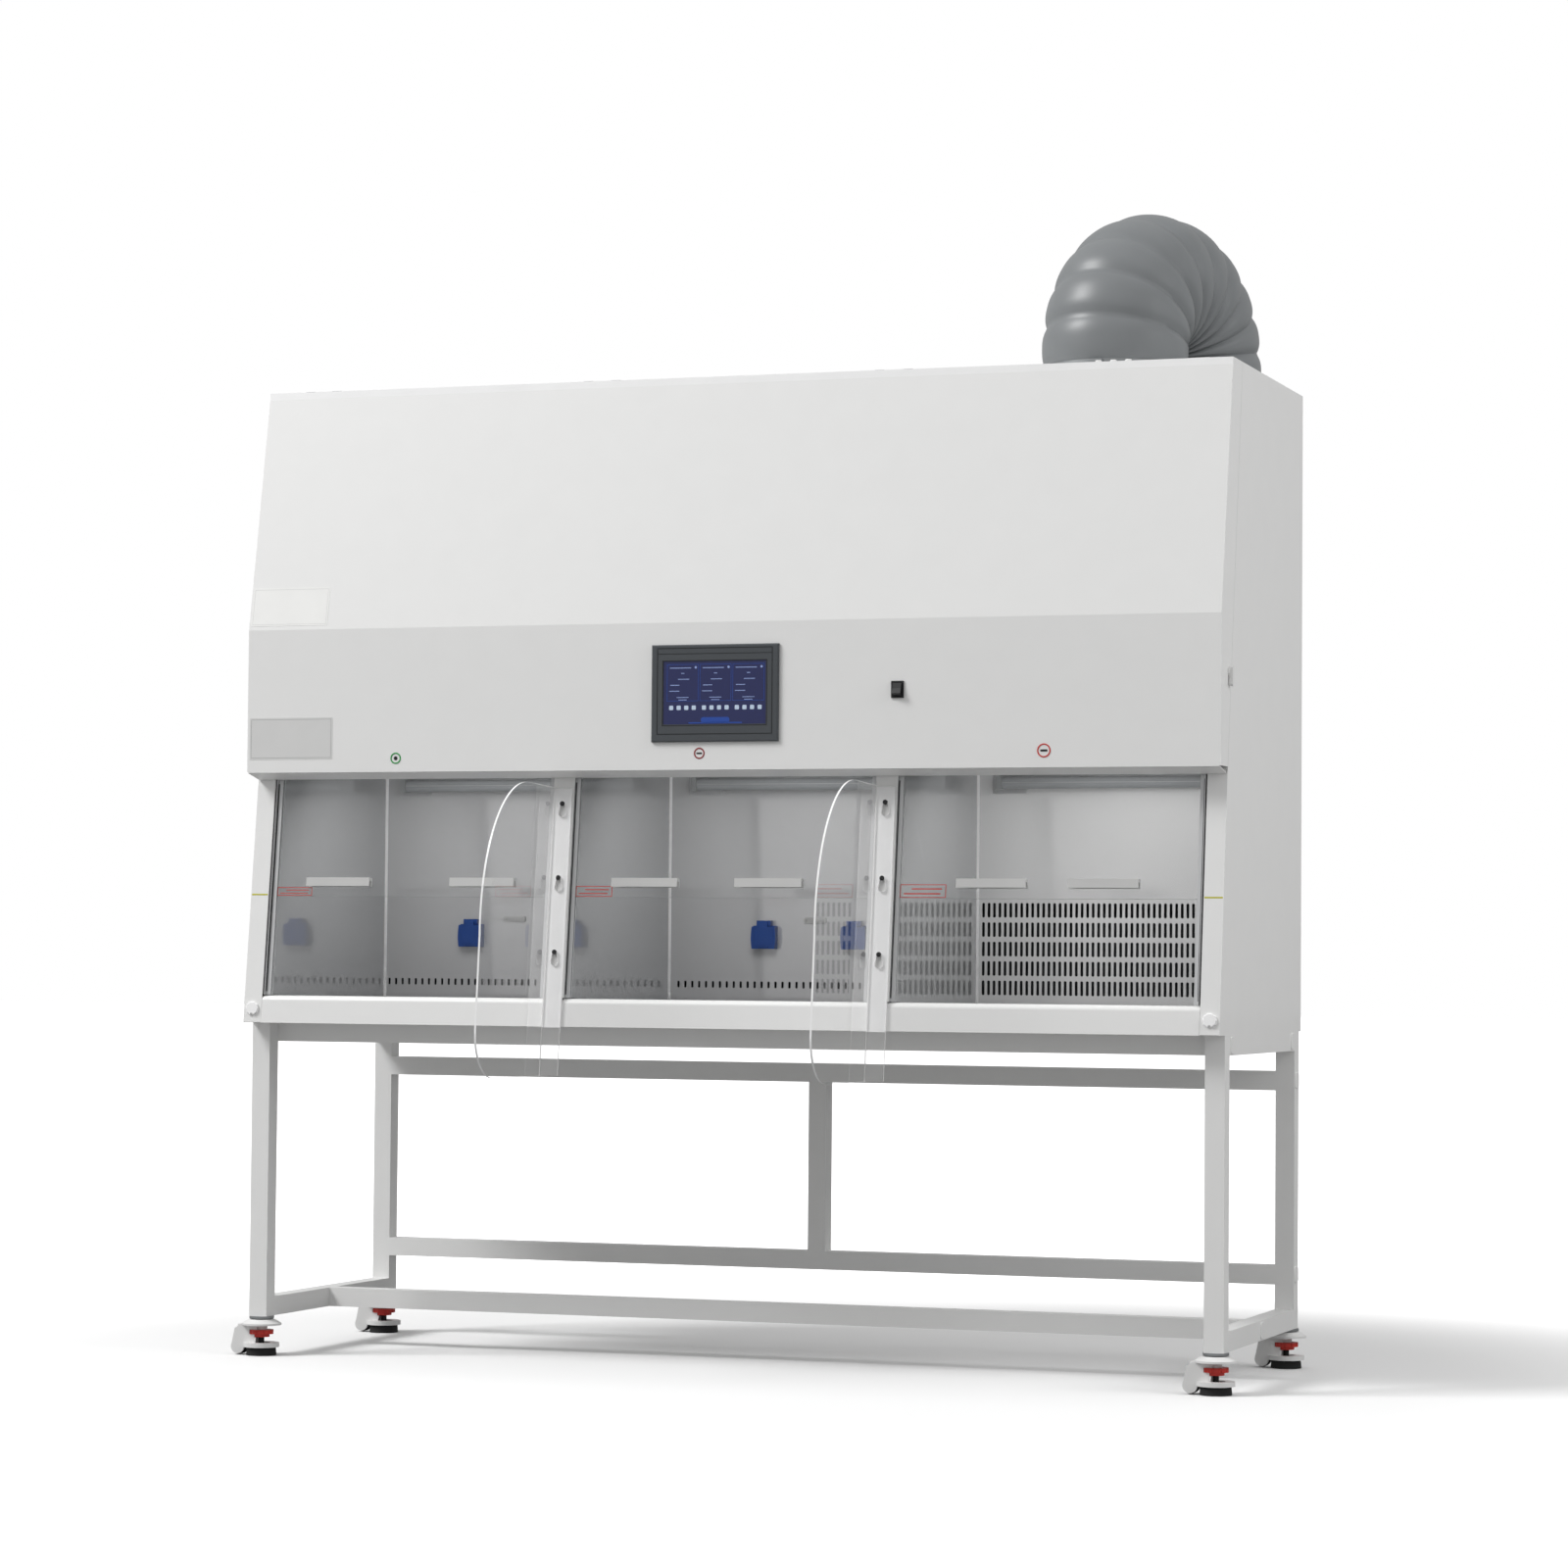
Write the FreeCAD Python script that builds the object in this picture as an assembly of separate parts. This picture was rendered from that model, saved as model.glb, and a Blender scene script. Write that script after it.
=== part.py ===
import FreeCAD, Part
import math
import os

Vector = FreeCAD.Vector
X_AXIS = Vector(1, 0, 0)
Z_AXIS = Vector(0, 0, 1)

# All sizes in millimetres. While building, x = 0 is the middle of the cabinet,
# y = 0 its front bottom edge and z = 0 the floor. The footprint is centred on export.

# Overall cabinet
CAB_W = 2100.0
CAB_DEPTH = 722.0
SHEET = 1.5
GAP = 0.3

# Front outline of the cabinet, from the bottom up
OPENING_H = 514.0
LIP_BACK = 58.0
LIP_DROP = 12.0
HEADER_FRONT = 3.0
HEADER_H = 299.0
UPPER_H = 498.0
UPPER_BACK = 90.0
RIM_H = 15.0
RIM_BACK = 92.0
SEAM_LOW = 60.0
SEAM_GAP = 1.2
HINGE_LINE = 172.0

# Stand
TUBE = 40.0
TUBE_WALL = 2.0
LEG_L = 618.0
LEG_FRONT = 46.0
LEG_INSET = 18.0
BACK_RAIL_DROP = 43.0
LOW_RAIL_UP = 91.0

# Levelling casters
CASTER_H = 82.0
PLATE_R = 26.0
PLATE_T = 5.0
CAP_R = 41.5
CAP_TOP_R = 27.0
CAP_LOW = 63.0
CAP_HIGH = 75.0
SKIRT_R = 37.5
SKIRT_LOW = 17.0
SKIRT_HIGH = 26.0
CHEEK_T = 5.0
CHEEK_R = 15.0
WHEEL_R = 16.5
WHEEL_W = 20.0
WHEEL_OFF = 48.5
AXLE_R = 4.0
PAD_R = 32.0
PAD_T = 16.0
STEM_R = 6.0
DIAL_R = 17.0
DIAL_FLANGE_R = 25.0
DIAL_LOW = 38.0
DIAL_STEP = 44.0
DIAL_HIGH = 53.0
DIAL_TEETH = 10
RUNNING_FIT = 0.06

# Chambers
POST_W = 46.0
STRIP_W = 40.0
SIDE_CAVITY = 45.0
REAR_CAVITY = 111.0
WORKTOP_UP = 41.5
ARMREST_H = 57.0
ARMREST_DEPTH = 72.0
ARMREST_ROUND = 12.0
CEILING_UP = 590.0
TRAY_RIM = 9.0
TRAY_EDGE = 12.0

# Sashes
GLASS_T = 5.0
GLASS_H = 500.0
GLASS_SETBACK = 10.0
SASH_OPENING = 210.0
GUIDE_W = 10.0
GUIDE_T = 10.2
GUIDE_SLOT = 6.2
GUIDE_BITE = 6.5
GUIDE_L = 957.0
HANDLE_L = 144.0
HANDLE_H = 18.0
HANDLE_T = 16.0
HANDLE_UP = 20.0
HANDLE_SPANS = {"left": (-160.0, 167.0), "middle": (-161.0, 107.0), "right": (-112.0, 118.0)}

# Removable divider plates on their keyhole strips
DIVIDER_T = 4.0
DIVIDER_REACH = 353.0
DIVIDER_TOP = 492.0
DIVIDER_HANG = 100.0
DIVIDER_CREST = 94.0
DIVIDER_SHOULDER = 313.0
DIVIDER_FLARE = 18.0
DIVIDER_CORNER = 90.0
STRIP_T = 1.5
KEY_SMALL_R = 4.2
KEY_LARGE_R = 8.2
KEY_DROP = 19.5
SCREW_PITCH = 153.0
SCREW_TOP = 458.0
SCREW_R = 2.5
SCREW_HEAD_R = 5.0
SCREW_HEAD_T = 3.0

# Back wall slots and grille
SLOT_W = 5.0
SLOT_H = 14.5
SLOT_PITCH = 16.0
SLOT_UP = 79.0
GRILLE_W = 6.0
GRILLE_H = 31.0
GRILLE_PITCH = 12.05
GRILLE_ROW = 41.2
GRILLE_UP = 69.5
SLOT_MARGIN = 12.0
GRILLE_ROWS = 5

# Sockets and lamps on the back walls
SOCKET_SPREAD = 102.0
SOCKET_UP = 164.0
SOCKET_W = 56.0
SOCKET_H = 50.0
SOCKET_T = 22.0
SOCKET_LID_T = 9.0
SOCKET_BORE_R = 19.0
SOCKET_HINGE_W = 32.0
SOCKET_PIN_R = 2.0
LAMP_L = 520.0
LAMP_W = 40.0
LAMP_T = 22.0
LAMP_UP = 516.0
LAMP_TUBE_R = 13.0
LAMP_HOLDER_W = 12.0

# Air handling above the chambers
UNIT_MARGIN = 36.0
UNIT_FRONT = 176.0
UNIT_BEHIND = 11.0
FILTER_H = 70.0
FILTER_WALL = 16.0
PLENUM_H = 360.0
INLET_R = 105.0
IMPELLER_R = 125.0
IMPELLER_H = 72.0
IMPELLER_DROP = 8.0
BLADE_COUNT = 7
BLADE_T = 3.0
MOTOR_R = 50.0
MOTOR_H = 70.0
MOTOR_PIN_R = 6.0

# Front cover fittings
SCREEN_W = 274.0
SCREEN_H = 198.0
SCREEN_T = 7.0
SCREEN_UP = 154.0
GLASS_W = 222.0
PANEL_H = 129.0
PANEL_DROP = 1.0
SCREEN_BODY_D = 36.0
SCREEN_BODY_EDGE = 12.0
SWITCH_X = 388.0
SWITCH_UP = 156.5
SWITCH_W = 26.0
SWITCH_H = 34.0
ROCKER_W = 18.0
ROCKER_H = 26.0
ROCKER_PIN_R = 1.5
HINGE_IN = 87.0
HINGE_W = 82.0
HINGE_R = 5.5
HINGE_PIN_R = 2.5
HINGE_LEAF = 20.0
HINGE_LEAF_T = 2.0
LATCH_Y = 66.0
LATCH_UP = 188.0
LATCH_R = 10.0
LATCH_L = 40.0
LATCH_T = 9.0

# Exhaust on the top
DUCT_IN = 303.0
DUCT_R = 150.0
DUCT_RIB_R = 145.5
DUCT_TURN = 74.0
DUCT_RISE = 52.0
DUCT_LOBES = 10
DUCT_RIB_ANGLE = 4.0
DUCT_FOLD_R = 152.0
COLLAR_R = 144.0
COLLAR_H = 44.0
COLLAR_FLANGE = 6.0
CLAMP_W = 12.0
CLAMP_T = 1.5
LOUVRE_W = 18.0
LOUVRE_PITCH = 36.0
LOUVRE_COUNT = 9
LOUVRE_L = 220.0
REAR_COVER_PROUD = 8.0
REAR_COVER_TOP = 63.0

# Sizes that follow from the ones above
HALF_W = CAB_W / 2
BASE_Z = CASTER_H + LEG_L
LIP_Z = BASE_Z + OPENING_H
HEADER_Z = LIP_Z + LIP_DROP
CREASE_Z = HEADER_Z + HEADER_H
RIM_Z = CREASE_Z + UPPER_H
TOP_Z = RIM_Z + RIM_H
LEAN = math.atan2(LIP_BACK, OPENING_H)
LEG_X = HALF_W - TUBE / 2
LEG_BACK = CAB_DEPTH - LEG_INSET
POST_X = HALF_W / 3
SIDE_WALL_X = HALF_W - SIDE_CAVITY
BACK_WALL_Y = CAB_DEPTH - REAR_CAVITY
UNIT_BACK = BACK_WALL_Y - UNIT_BEHIND
HINGE_X = [(HALF_W - HINGE_IN) * share for share in (-1, -1 / 3, 1 / 3, 1)]
DUCT_X = HALF_W - DUCT_IN
DUCT_Y = HINGE_LINE + COLLAR_R + COLLAR_FLANGE + 2
LEG_Y = {"front": LEG_FRONT + TUBE / 2, "rear": LEG_BACK - TUBE / 2}
WORK_Z = BASE_Z + WORKTOP_UP
CEILING_Z = BASE_Z + CEILING_UP
REST_S = (ARMREST_H + SASH_OPENING) / math.cos(LEAN)
HALF_POST = POST_W / 2
CHAMBERS = {"left": (-SIDE_WALL_X, -POST_X - HALF_POST),
            "middle": (-POST_X + HALF_POST, POST_X - HALF_POST),
            "right": (POST_X + HALF_POST, SIDE_WALL_X)}
DUCT_FOLD_Z = TOP_Z + DUCT_RISE
HINGE_Z = TOP_Z + HINGE_LEAF_T / 2 + HINGE_R

# The footprint box: wheels and caster caps at the sides, divider plates in front, duct behind
FOOT_LOW_X = -LEG_X - WHEEL_OFF - WHEEL_R
FOOT_HIGH_X = LEG_X + CAP_R
FOOT_LOW_Y = -DIVIDER_REACH
FOOT_HIGH_Y = DUCT_Y + 2 * DUCT_FOLD_R * math.sin(math.radians(DUCT_TURN)) + DUCT_R
SHIFT = Vector(-(FOOT_LOW_X + FOOT_HIGH_X) / 2, -(FOOT_LOW_Y + FOOT_HIGH_Y) / 2, 0)


def box(x0, x1, y0, y1, z0, z1):
    return Part.makeBox(x1 - x0, y1 - y0, z1 - z0, Vector(x0, y0, z0))


def rod(radius, start, end):
    direction = Vector(*end) - Vector(*start)
    return Part.makeCylinder(radius, direction.Length, Vector(*start), direction)


def cone(r0, r1, start, height):
    return Part.makeCone(r0, r1, height, Vector(*start), Z_AXIS)


def prism_x(outline, x0, x1):
    """A closed outline of (y, z) points, pulled out along x."""
    points = [Vector(x0, y, z) for y, z in outline]
    face = Part.Face(Part.makePolygon(points + points[:1]))
    return face.extrude(Vector(x1 - x0, 0, 0))


def bent_sheet(line, thickness, x0, x1):
    """A folded sheet whose outer face follows (y, z) points, with mitred folds on its left side."""
    normals = []
    for (ya, za), (yb, zb) in zip(line[:-1], line[1:]):
        length = math.hypot(yb - ya, zb - za)
        normals.append((-(zb - za) / length, (yb - ya) / length))
    inner = []
    for i, (y, z) in enumerate(line):
        before = normals[max(i - 1, 0)]
        after = normals[min(i, len(normals) - 1)]
        share = thickness / (1 + before[0] * after[0] + before[1] * after[1])
        inner.append((y + (before[0] + after[0]) * share, z + (before[1] + after[1]) * share))
    return prism_x(line + inner[::-1], x0, x1)


def square_tube(x0, x1, y0, y1, z0, z1, along):
    """A square tube with open ends, running along the named axis."""
    wall = {"x": (0, TUBE_WALL, TUBE_WALL), "y": (TUBE_WALL, 0, TUBE_WALL),
            "z": (TUBE_WALL, TUBE_WALL, 0)}[along]
    bore = box(x0 + wall[0], x1 - wall[0], y0 + wall[1], y1 - wall[1], z0 + wall[2], z1 - wall[2])
    return box(x0, x1, y0, y1, z0, z1).cut(bore)


def unit_middle(name):
    return sum(CHAMBERS[name]) / 2


def unit_span(name):
    """Left and right ends of the air unit above a chamber."""
    x0, x1 = CHAMBERS[name]
    return x0 + UNIT_MARGIN, x1 - UNIT_MARGIN


def slot_places(name, pitch):
    """Even places for the slots that fit across a chamber's back wall."""
    x0, x1 = CHAMBERS[name]
    narrow = min(high - low for low, high in CHAMBERS.values())
    count = int((narrow - 2 * SLOT_MARGIN) / pitch) + 1
    first = (x0 + x1) / 2 - pitch * (count - 1) / 2
    return [first + pitch * i for i in range(count)]


def front_y(z):
    """How far back the leaning opening plane is at a height."""
    return LIP_BACK * (z - BASE_Z) / OPENING_H


def lean(shape):
    """Tip a piece built upright on the front bottom edge into the leaning opening plane."""
    tipped = shape.copy()
    tipped.rotate(Vector(0, 0, BASE_Z), X_AXIS, -math.degrees(LEAN))
    return tipped


def mirror_x(shape):
    return shape.mirror(Vector(0, 0, 0), X_AXIS)


def both_sides(shape):
    return [shape, mirror_x(shape)]


def obround_x(y, z, width, height, x0, x1):
    """An upright slot with round ends, seen along x."""
    radius = width / 2
    reach = height / 2 - radius
    slot = box(x0, x1, y - radius, y + radius, z - reach, z + reach)
    for end in (z - reach, z + reach):
        slot = slot.fuse(rod(radius, (x0, y, end), (x1, y, end)))
    return slot


def slot_cutter(x, z, width, height):
    """A wall slot with chamfered ends, cut through the back wall."""
    half, nib = width / 2, width * 0.3
    low, high = z - height / 2, z + height / 2
    outline = [(x - half, low + nib), (x - half + nib, low), (x + half - nib, low), (x + half, low + nib),
               (x + half, high - nib), (x + half - nib, high), (x - half + nib, high), (x - half,
                                                                                        high - nib)]
    points = [Vector(px, BACK_WALL_Y - 1, pz) for px, pz in outline]
    face = Part.Face(Part.makePolygon(points + points[:1]))
    return face.extrude(Vector(0, SHEET + 2, 0))


# Stand

def stand_legs():
    legs = []
    for y in LEG_Y.values():
        leg = square_tube(LEG_X - TUBE / 2, LEG_X + TUBE / 2, y - TUBE / 2, y + TUBE / 2, CASTER_H,
                          BASE_Z, "z")
        legs += both_sides(leg)
    return legs


def cross_rail(y0, z0):
    inner = LEG_X - TUBE / 2
    return square_tube(-inner, inner, y0, y0 + TUBE, z0, z0 + TUBE, "x")


def stand_rails():
    """Side, top cross, back and foot rails with the middle back post."""
    rails = []
    y0, y1 = LEG_FRONT + TUBE, LEG_BACK - TUBE
    top = BASE_Z - TUBE
    for z0 in (CASTER_H, top):
        rail = square_tube(LEG_X - TUBE / 2, LEG_X + TUBE / 2, y0, y1, z0, z0 + TUBE, "y")
        rails += both_sides(rail)
    high, low = top - BACK_RAIL_DROP - TUBE, CASTER_H + LOW_RAIL_UP
    middle = (LEG_FRONT + LEG_BACK) / 2
    rails += [cross_rail(y0, top), cross_rail(y1 - TUBE, top), cross_rail(y1, high), cross_rail(y1, low),
              cross_rail(middle - TUBE / 2, CASTER_H)]
    rails.append(square_tube(-TUBE / 2, TUBE / 2, y1, LEG_BACK, low + TUBE, high, "z"))
    return rails


# Levelling casters

def caster_seats():
    """Swivel plates with their stems, held in the legs by square inserts."""
    seats = []
    bore = TUBE / 2 - TUBE_WALL
    for y in LEG_Y.values():
        plate = rod(PLATE_R, (LEG_X, y, CASTER_H - PLATE_T), (LEG_X, y, CASTER_H))
        insert = box(LEG_X - bore, LEG_X + bore, y - bore, y + bore, CASTER_H, CASTER_H + TUBE / 2)
        collar = rod(STEM_R + 4, (LEG_X, y, CAP_HIGH + GAP), (LEG_X, y, CASTER_H - PLATE_T))
        seats += both_sides(plate.fuse(insert).fuse(collar).removeSplitter())
    return seats


def caster_housing(x, y):
    """Moulded cap, two cheeks that hold the wheel, and the skirt ring over the foot pad."""
    cap = cone(CAP_R, CAP_TOP_R, (x, y, CAP_LOW + 4), CAP_HIGH - CAP_LOW - 4)
    cap = cap.fuse(rod(CAP_R, (x, y, CAP_LOW), (x, y, CAP_LOW + 4)))
    skirt = rod(SKIRT_R, (x, y, SKIRT_LOW), (x, y, SKIRT_HIGH))
    skirt = skirt.cut(rod(DIAL_R + 2, (x, y, SKIRT_LOW), (x, y, SKIRT_HIGH + 1)))
    inner = WHEEL_W / 2 + 0.5
    hub_x = x - WHEEL_OFF
    hub_z = WHEEL_R + 1
    outline = [(hub_x - CHEEK_R * 0.9, hub_z + 6), (hub_x - 7, CAP_LOW - 8), (hub_x + 8, CAP_LOW + 2),
               (x - 2, CAP_LOW + 2), (x - 7, SKIRT_HIGH - 1), (hub_x + CHEEK_R, SKIRT_LOW + 1)]
    points = [Vector(px, y, pz) for px, pz in outline]
    side = Part.Face(Part.makePolygon(points + points[:1])).extrude(Vector(0, CHEEK_T, 0))
    side = side.fuse(rod(CHEEK_R, (hub_x, y, hub_z), (hub_x, y + CHEEK_T, hub_z)))
    front, back = side.copy(), side.copy()
    front.translate(Vector(0, -inner - CHEEK_T, 0))
    back.translate(Vector(0, inner, 0))
    arch = box(hub_x - 2, x - 24, y - inner, y + inner, hub_z + WHEEL_R + 8, CAP_LOW + 1)
    sleeve = rod(STEM_R + 6, (x, y, DIAL_HIGH + GAP), (x, y, CAP_LOW + 1))
    body = cap.fuse([skirt, front, back, arch, sleeve])
    body = body.cut(rod(PAD_R + 1, (x, y, 0), (x, y, SKIRT_HIGH - 3)))
    body = body.cut(rod(STEM_R + 10, (x, y, 0), (x, y, DIAL_LOW)))
    body = body.cut(rod(STEM_R + 0.5, (x, y, SKIRT_LOW), (x, y, CAP_HIGH - 3)))
    body = body.cut(rod(DIAL_R + 1, (x, y, DIAL_LOW - 1), (x, y, DIAL_HIGH + GAP)))
    body = body.cut(rod(DIAL_FLANGE_R + 1, (x, y, DIAL_STEP - 0.5), (x, y, DIAL_HIGH + GAP)))
    body = body.cut(rod(WHEEL_R + 1.5, (hub_x, y - inner, hub_z), (hub_x, y + inner, hub_z)))
    axle = rod(AXLE_R - RUNNING_FIT, (hub_x, y - inner - CHEEK_T / 2, hub_z),
               (hub_x, y + inner + CHEEK_T / 2, hub_z))
    return [body.fuse(axle).removeSplitter()]


def caster_wheel(x, y):
    hub_x, hub_z = x - WHEEL_OFF, WHEEL_R + 1
    half = WHEEL_W / 2
    tyre = rod(WHEEL_R, (hub_x, y - half, hub_z), (hub_x, y + half, hub_z))
    tyre = tyre.makeChamfer(1.5, [e for e in tyre.Edges if e.Curve.TypeId == "Part::GeomCircle"])
    return [tyre.cut(rod(AXLE_R, (hub_x, y - half - 1, hub_z), (hub_x, y + half + 1, hub_z)))]


def levelling_dial(x, y):
    """Red thumb wheel with finger notches round its flange."""
    wheel = rod(DIAL_R, (x, y, DIAL_LOW), (x, y, DIAL_HIGH))
    wheel = wheel.fuse(rod(DIAL_FLANGE_R, (x, y, DIAL_STEP), (x, y, DIAL_HIGH))).removeSplitter()
    for i in range(DIAL_TEETH):
        angle = 2 * math.pi * (i + 0.5) / DIAL_TEETH
        cx, cy = x + (DIAL_FLANGE_R + 1) * math.cos(angle), y + (DIAL_FLANGE_R + 1) * math.sin(angle)
        wheel = wheel.cut(rod(3, (cx, cy, DIAL_STEP - 1), (cx, cy, DIAL_HIGH + 1)))
    return [wheel.cut(rod(STEM_R + RUNNING_FIT, (x, y, DIAL_LOW - 1), (x, y, DIAL_HIGH + 1)))]


def foot_pad(x, y):
    """Rubber-faced foot on its threaded stem."""
    pad = cone(PAD_R, PAD_R - 1.5, (x, y, 0), PAD_T - 1)
    pad = pad.fuse(rod(STEM_R + 9, (x, y, PAD_T - 2), (x, y, PAD_T + 4)))
    return [pad.fuse(rod(STEM_R, (x, y, PAD_T), (x, y, CAP_LOW + 2))).removeSplitter()]


# Cabinet shell

def seam_line(inset):
    """The side seam behind which the fixed panels start."""
    return [(SEAM_LOW + inset, HEADER_Z), (HINGE_LINE + inset, TOP_Z)]


def side_panels():
    """Outer side sheets with their leaning front strips."""
    low, high = seam_line(SEAM_GAP)
    outline = [(0, BASE_Z), (LIP_BACK, LIP_Z), (SEAM_LOW - 1, LIP_Z), low, high, (CAB_DEPTH, TOP_Z),
               (CAB_DEPTH, BASE_Z)]
    sheet = prism_x(outline, HALF_W - SHEET, HALF_W)
    reach = OPENING_H / math.cos(LEAN) - 1
    strip = lean(box(HALF_W - STRIP_W, HALF_W, 0, SHEET, BASE_Z + 1, BASE_Z + reach))
    fold = lean(box(HALF_W - STRIP_W, HALF_W - STRIP_W + SHEET, 0, 3 * SHEET, BASE_Z + ARMREST_H + 4,
                    BASE_Z + reach))
    return both_sides(sheet.fuse([strip, fold]).removeSplitter())


def base_pan():
    """Floor sheet of the cabinet with the bearers under the worktops."""
    inner = HALF_W - SHEET - GAP
    pan = box(-inner, inner, 8, CAB_DEPTH - SHEET - GAP, BASE_Z, BASE_Z + 2 * SHEET)
    bearers = []
    for x0, x1 in CHAMBERS.values():
        for y in (ARMREST_DEPTH + 60, BACK_WALL_Y - 60):
            bearers.append(box(x0 + 20, x1 - 20, y - 15, y + 15, BASE_Z + SHEET, WORK_Z - SHEET))
    return [pan.fuse(bearers).removeSplitter()]


def back_panel():
    """Rear sheet and the shallow folded cover over the rear air duct."""
    inner = HALF_W - SHEET
    panel = box(-inner, inner, CAB_DEPTH - SHEET, CAB_DEPTH, BASE_Z, TOP_Z - SHEET)
    edge = 3 * TUBE / 4
    x1, z1 = HALF_W - edge, TOP_Z - REAR_COVER_TOP
    cover = box(-x1, x1, CAB_DEPTH, CAB_DEPTH + REAR_COVER_PROUD, BASE_Z + edge, z1)
    hollow = box(-x1 + SHEET, x1 - SHEET, CAB_DEPTH - 1, CAB_DEPTH + REAR_COVER_PROUD - SHEET,
                 BASE_Z + edge + SHEET, z1 - SHEET)
    return [panel, cover.cut(hollow)]


def top_panel():
    """Top sheet with the exhaust hole and two louvred air intakes."""
    inner = HALF_W - SHEET
    panel = box(-inner, inner, HINGE_LINE + 2 * GAP, CAB_DEPTH - SHEET, TOP_Z - SHEET, TOP_Z)
    panel = panel.cut(rod(COLLAR_R - SHEET, (DUCT_X, DUCT_Y, TOP_Z - 5), (DUCT_X, DUCT_Y, TOP_Z + 5)))
    for name in ("left", "middle"):
        first = unit_middle(name) - LOUVRE_PITCH * (LOUVRE_COUNT - 1) / 2
        y0 = (UNIT_FRONT + UNIT_BACK - LOUVRE_L) / 2
        for i in range(LOUVRE_COUNT):
            x = first + LOUVRE_PITCH * i
            panel = panel.cut(box(x - LOUVRE_W / 2, x + LOUVRE_W / 2, y0, y0 + LOUVRE_L, TOP_Z - 5,
                                  TOP_Z + 5))
    return [panel]


def armrest_rail():
    """Folded front rail with a rounded top, between the two front strips."""
    end = HALF_W - STRIP_W - 0.5
    line = [(ARMREST_DEPTH, BASE_Z + WORKTOP_UP - 12), (ARMREST_DEPTH, BASE_Z + ARMREST_H),
            (front_y(BASE_Z + ARMREST_H), BASE_Z + ARMREST_H), (0, BASE_Z)]
    rail = bent_sheet(line, SHEET, -end, end)
    nose = [e for e in rail.Edges if abs(e.CenterOfMass.z - line[2][1]) < 2 * SHEET
            and e.CenterOfMass.y < line[2][0] + 2 * SHEET and e.Length > end]
    outer = max(nose, key=lambda e: e.CenterOfMass.z)
    inner = min(nose, key=lambda e: e.CenterOfMass.z)
    rail = rail.makeFillet(ARMREST_ROUND, [outer])
    again = [e for e in rail.Edges if (e.CenterOfMass - inner.CenterOfMass).Length < 0.1]
    return [rail.makeFillet(ARMREST_ROUND - SHEET, again)]


def opening_frame():
    """Front faces of the two hollow partitions and the folded edge under the header."""
    low = ARMREST_H / math.cos(LEAN) + 1.5
    high = OPENING_H / math.cos(LEAN) - 1
    post = box(POST_X - HALF_POST, POST_X + HALF_POST, 0, SHEET, BASE_Z + low, BASE_Z + high)
    end = HALF_W - SHEET - GAP
    line = [(LIP_BACK - 3, LIP_Z + 76), (LIP_BACK - 3, LIP_Z), (HEADER_FRONT + SHEET + 1, HEADER_Z - 1)]
    return both_sides(lean(post)) + [bent_sheet(line, SHEET, -end, end)]


# Front cover that lifts on its four hinges

def cover_outline(t):
    """Front profile of the cover, moved inwards by a wall."""
    return [(HEADER_FRONT + t, HEADER_Z), (HEADER_FRONT + t, CREASE_Z), (UPPER_BACK + t, RIM_Z),
            (RIM_BACK + t, TOP_Z - t), (HINGE_LINE, TOP_Z - t)]


def front_cover():
    outer = cover_outline(0) + [(SEAM_LOW, HEADER_Z)]
    inner = cover_outline(SHEET) + [(HINGE_LINE + 1, TOP_Z - SHEET), (HINGE_LINE + 1, HEADER_Z - 1),
                                    (HEADER_FRONT + SHEET, HEADER_Z - 1)]
    shell = prism_x(outer, -HALF_W, HALF_W)
    shell = shell.cut(prism_x(inner, -HALF_W + SHEET, HALF_W - SHEET))
    edge = SCREEN_BODY_EDGE - GAP
    low = HEADER_Z + SCREEN_UP - SCREEN_H / 2
    cut = box(-SCREEN_W / 2 + edge, SCREEN_W / 2 - edge, 0, 2 * HEADER_FRONT + SHEET, low + edge,
              low + SCREEN_H - edge)
    shell = shell.cut(cut)
    z = HEADER_Z + SWITCH_UP
    slot = box(SWITCH_X - SWITCH_W / 2 + 1.5, SWITCH_X + SWITCH_W / 2 - 1.5, 0, 2 * HEADER_FRONT + SHEET,
               z - SWITCH_H / 2 + 1.5, z + SWITCH_H / 2 - 1.5)
    return [shell.cut(slot).fuse(cover_hinge_leaves()).removeSplitter()]


def hinge_barrel(x, share0, share1):
    x0 = x - HINGE_W / 2
    return rod(HINGE_R, (x0 + HINGE_W * share0, HINGE_LINE, HINGE_Z),
               (x0 + HINGE_W * share1, HINGE_LINE, HINGE_Z))


def hinge_leaf(x, side, shares):
    """One leaf: a chamfered plate on the sheet and its knuckles round the pin."""
    y0, y1 = sorted((HINGE_LINE, HINGE_LINE + side * HINGE_LEAF))
    half = HINGE_W / 2
    plate = box(x - half, x + half, y0, y1, TOP_Z, TOP_Z + HINGE_LEAF_T)
    gap_y0, gap_y1 = HINGE_LINE - HINGE_R - GAP, HINGE_LINE + HINGE_R + GAP
    plate = plate.cut(box(x - half - 1, x + half + 1, gap_y0, gap_y1, TOP_Z - 1, TOP_Z + 5))
    parts = []
    for share0, share1 in shares:
        x0 = x - half + HINGE_W * share0
        x1 = x - half + HINGE_W * share1
        foot_y0, foot_y1 = sorted((HINGE_LINE, HINGE_LINE + side * (HINGE_R + 2)))
        parts.append(hinge_barrel(x, share0, share1))
        parts.append(box(x0, x1, foot_y0, foot_y1, TOP_Z, TOP_Z + HINGE_LEAF_T))
    leaf = plate.fuse(parts).removeSplitter()
    bore = rod(HINGE_PIN_R + RUNNING_FIT, (x - half - 1, HINGE_LINE, HINGE_Z),
               (x + half + 1, HINGE_LINE, HINGE_Z))
    return leaf.cut(bore)


def cover_hinge_leaves():
    return [hinge_leaf(x, -1, [(0.255, 0.745)]) for x in HINGE_X]


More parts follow.
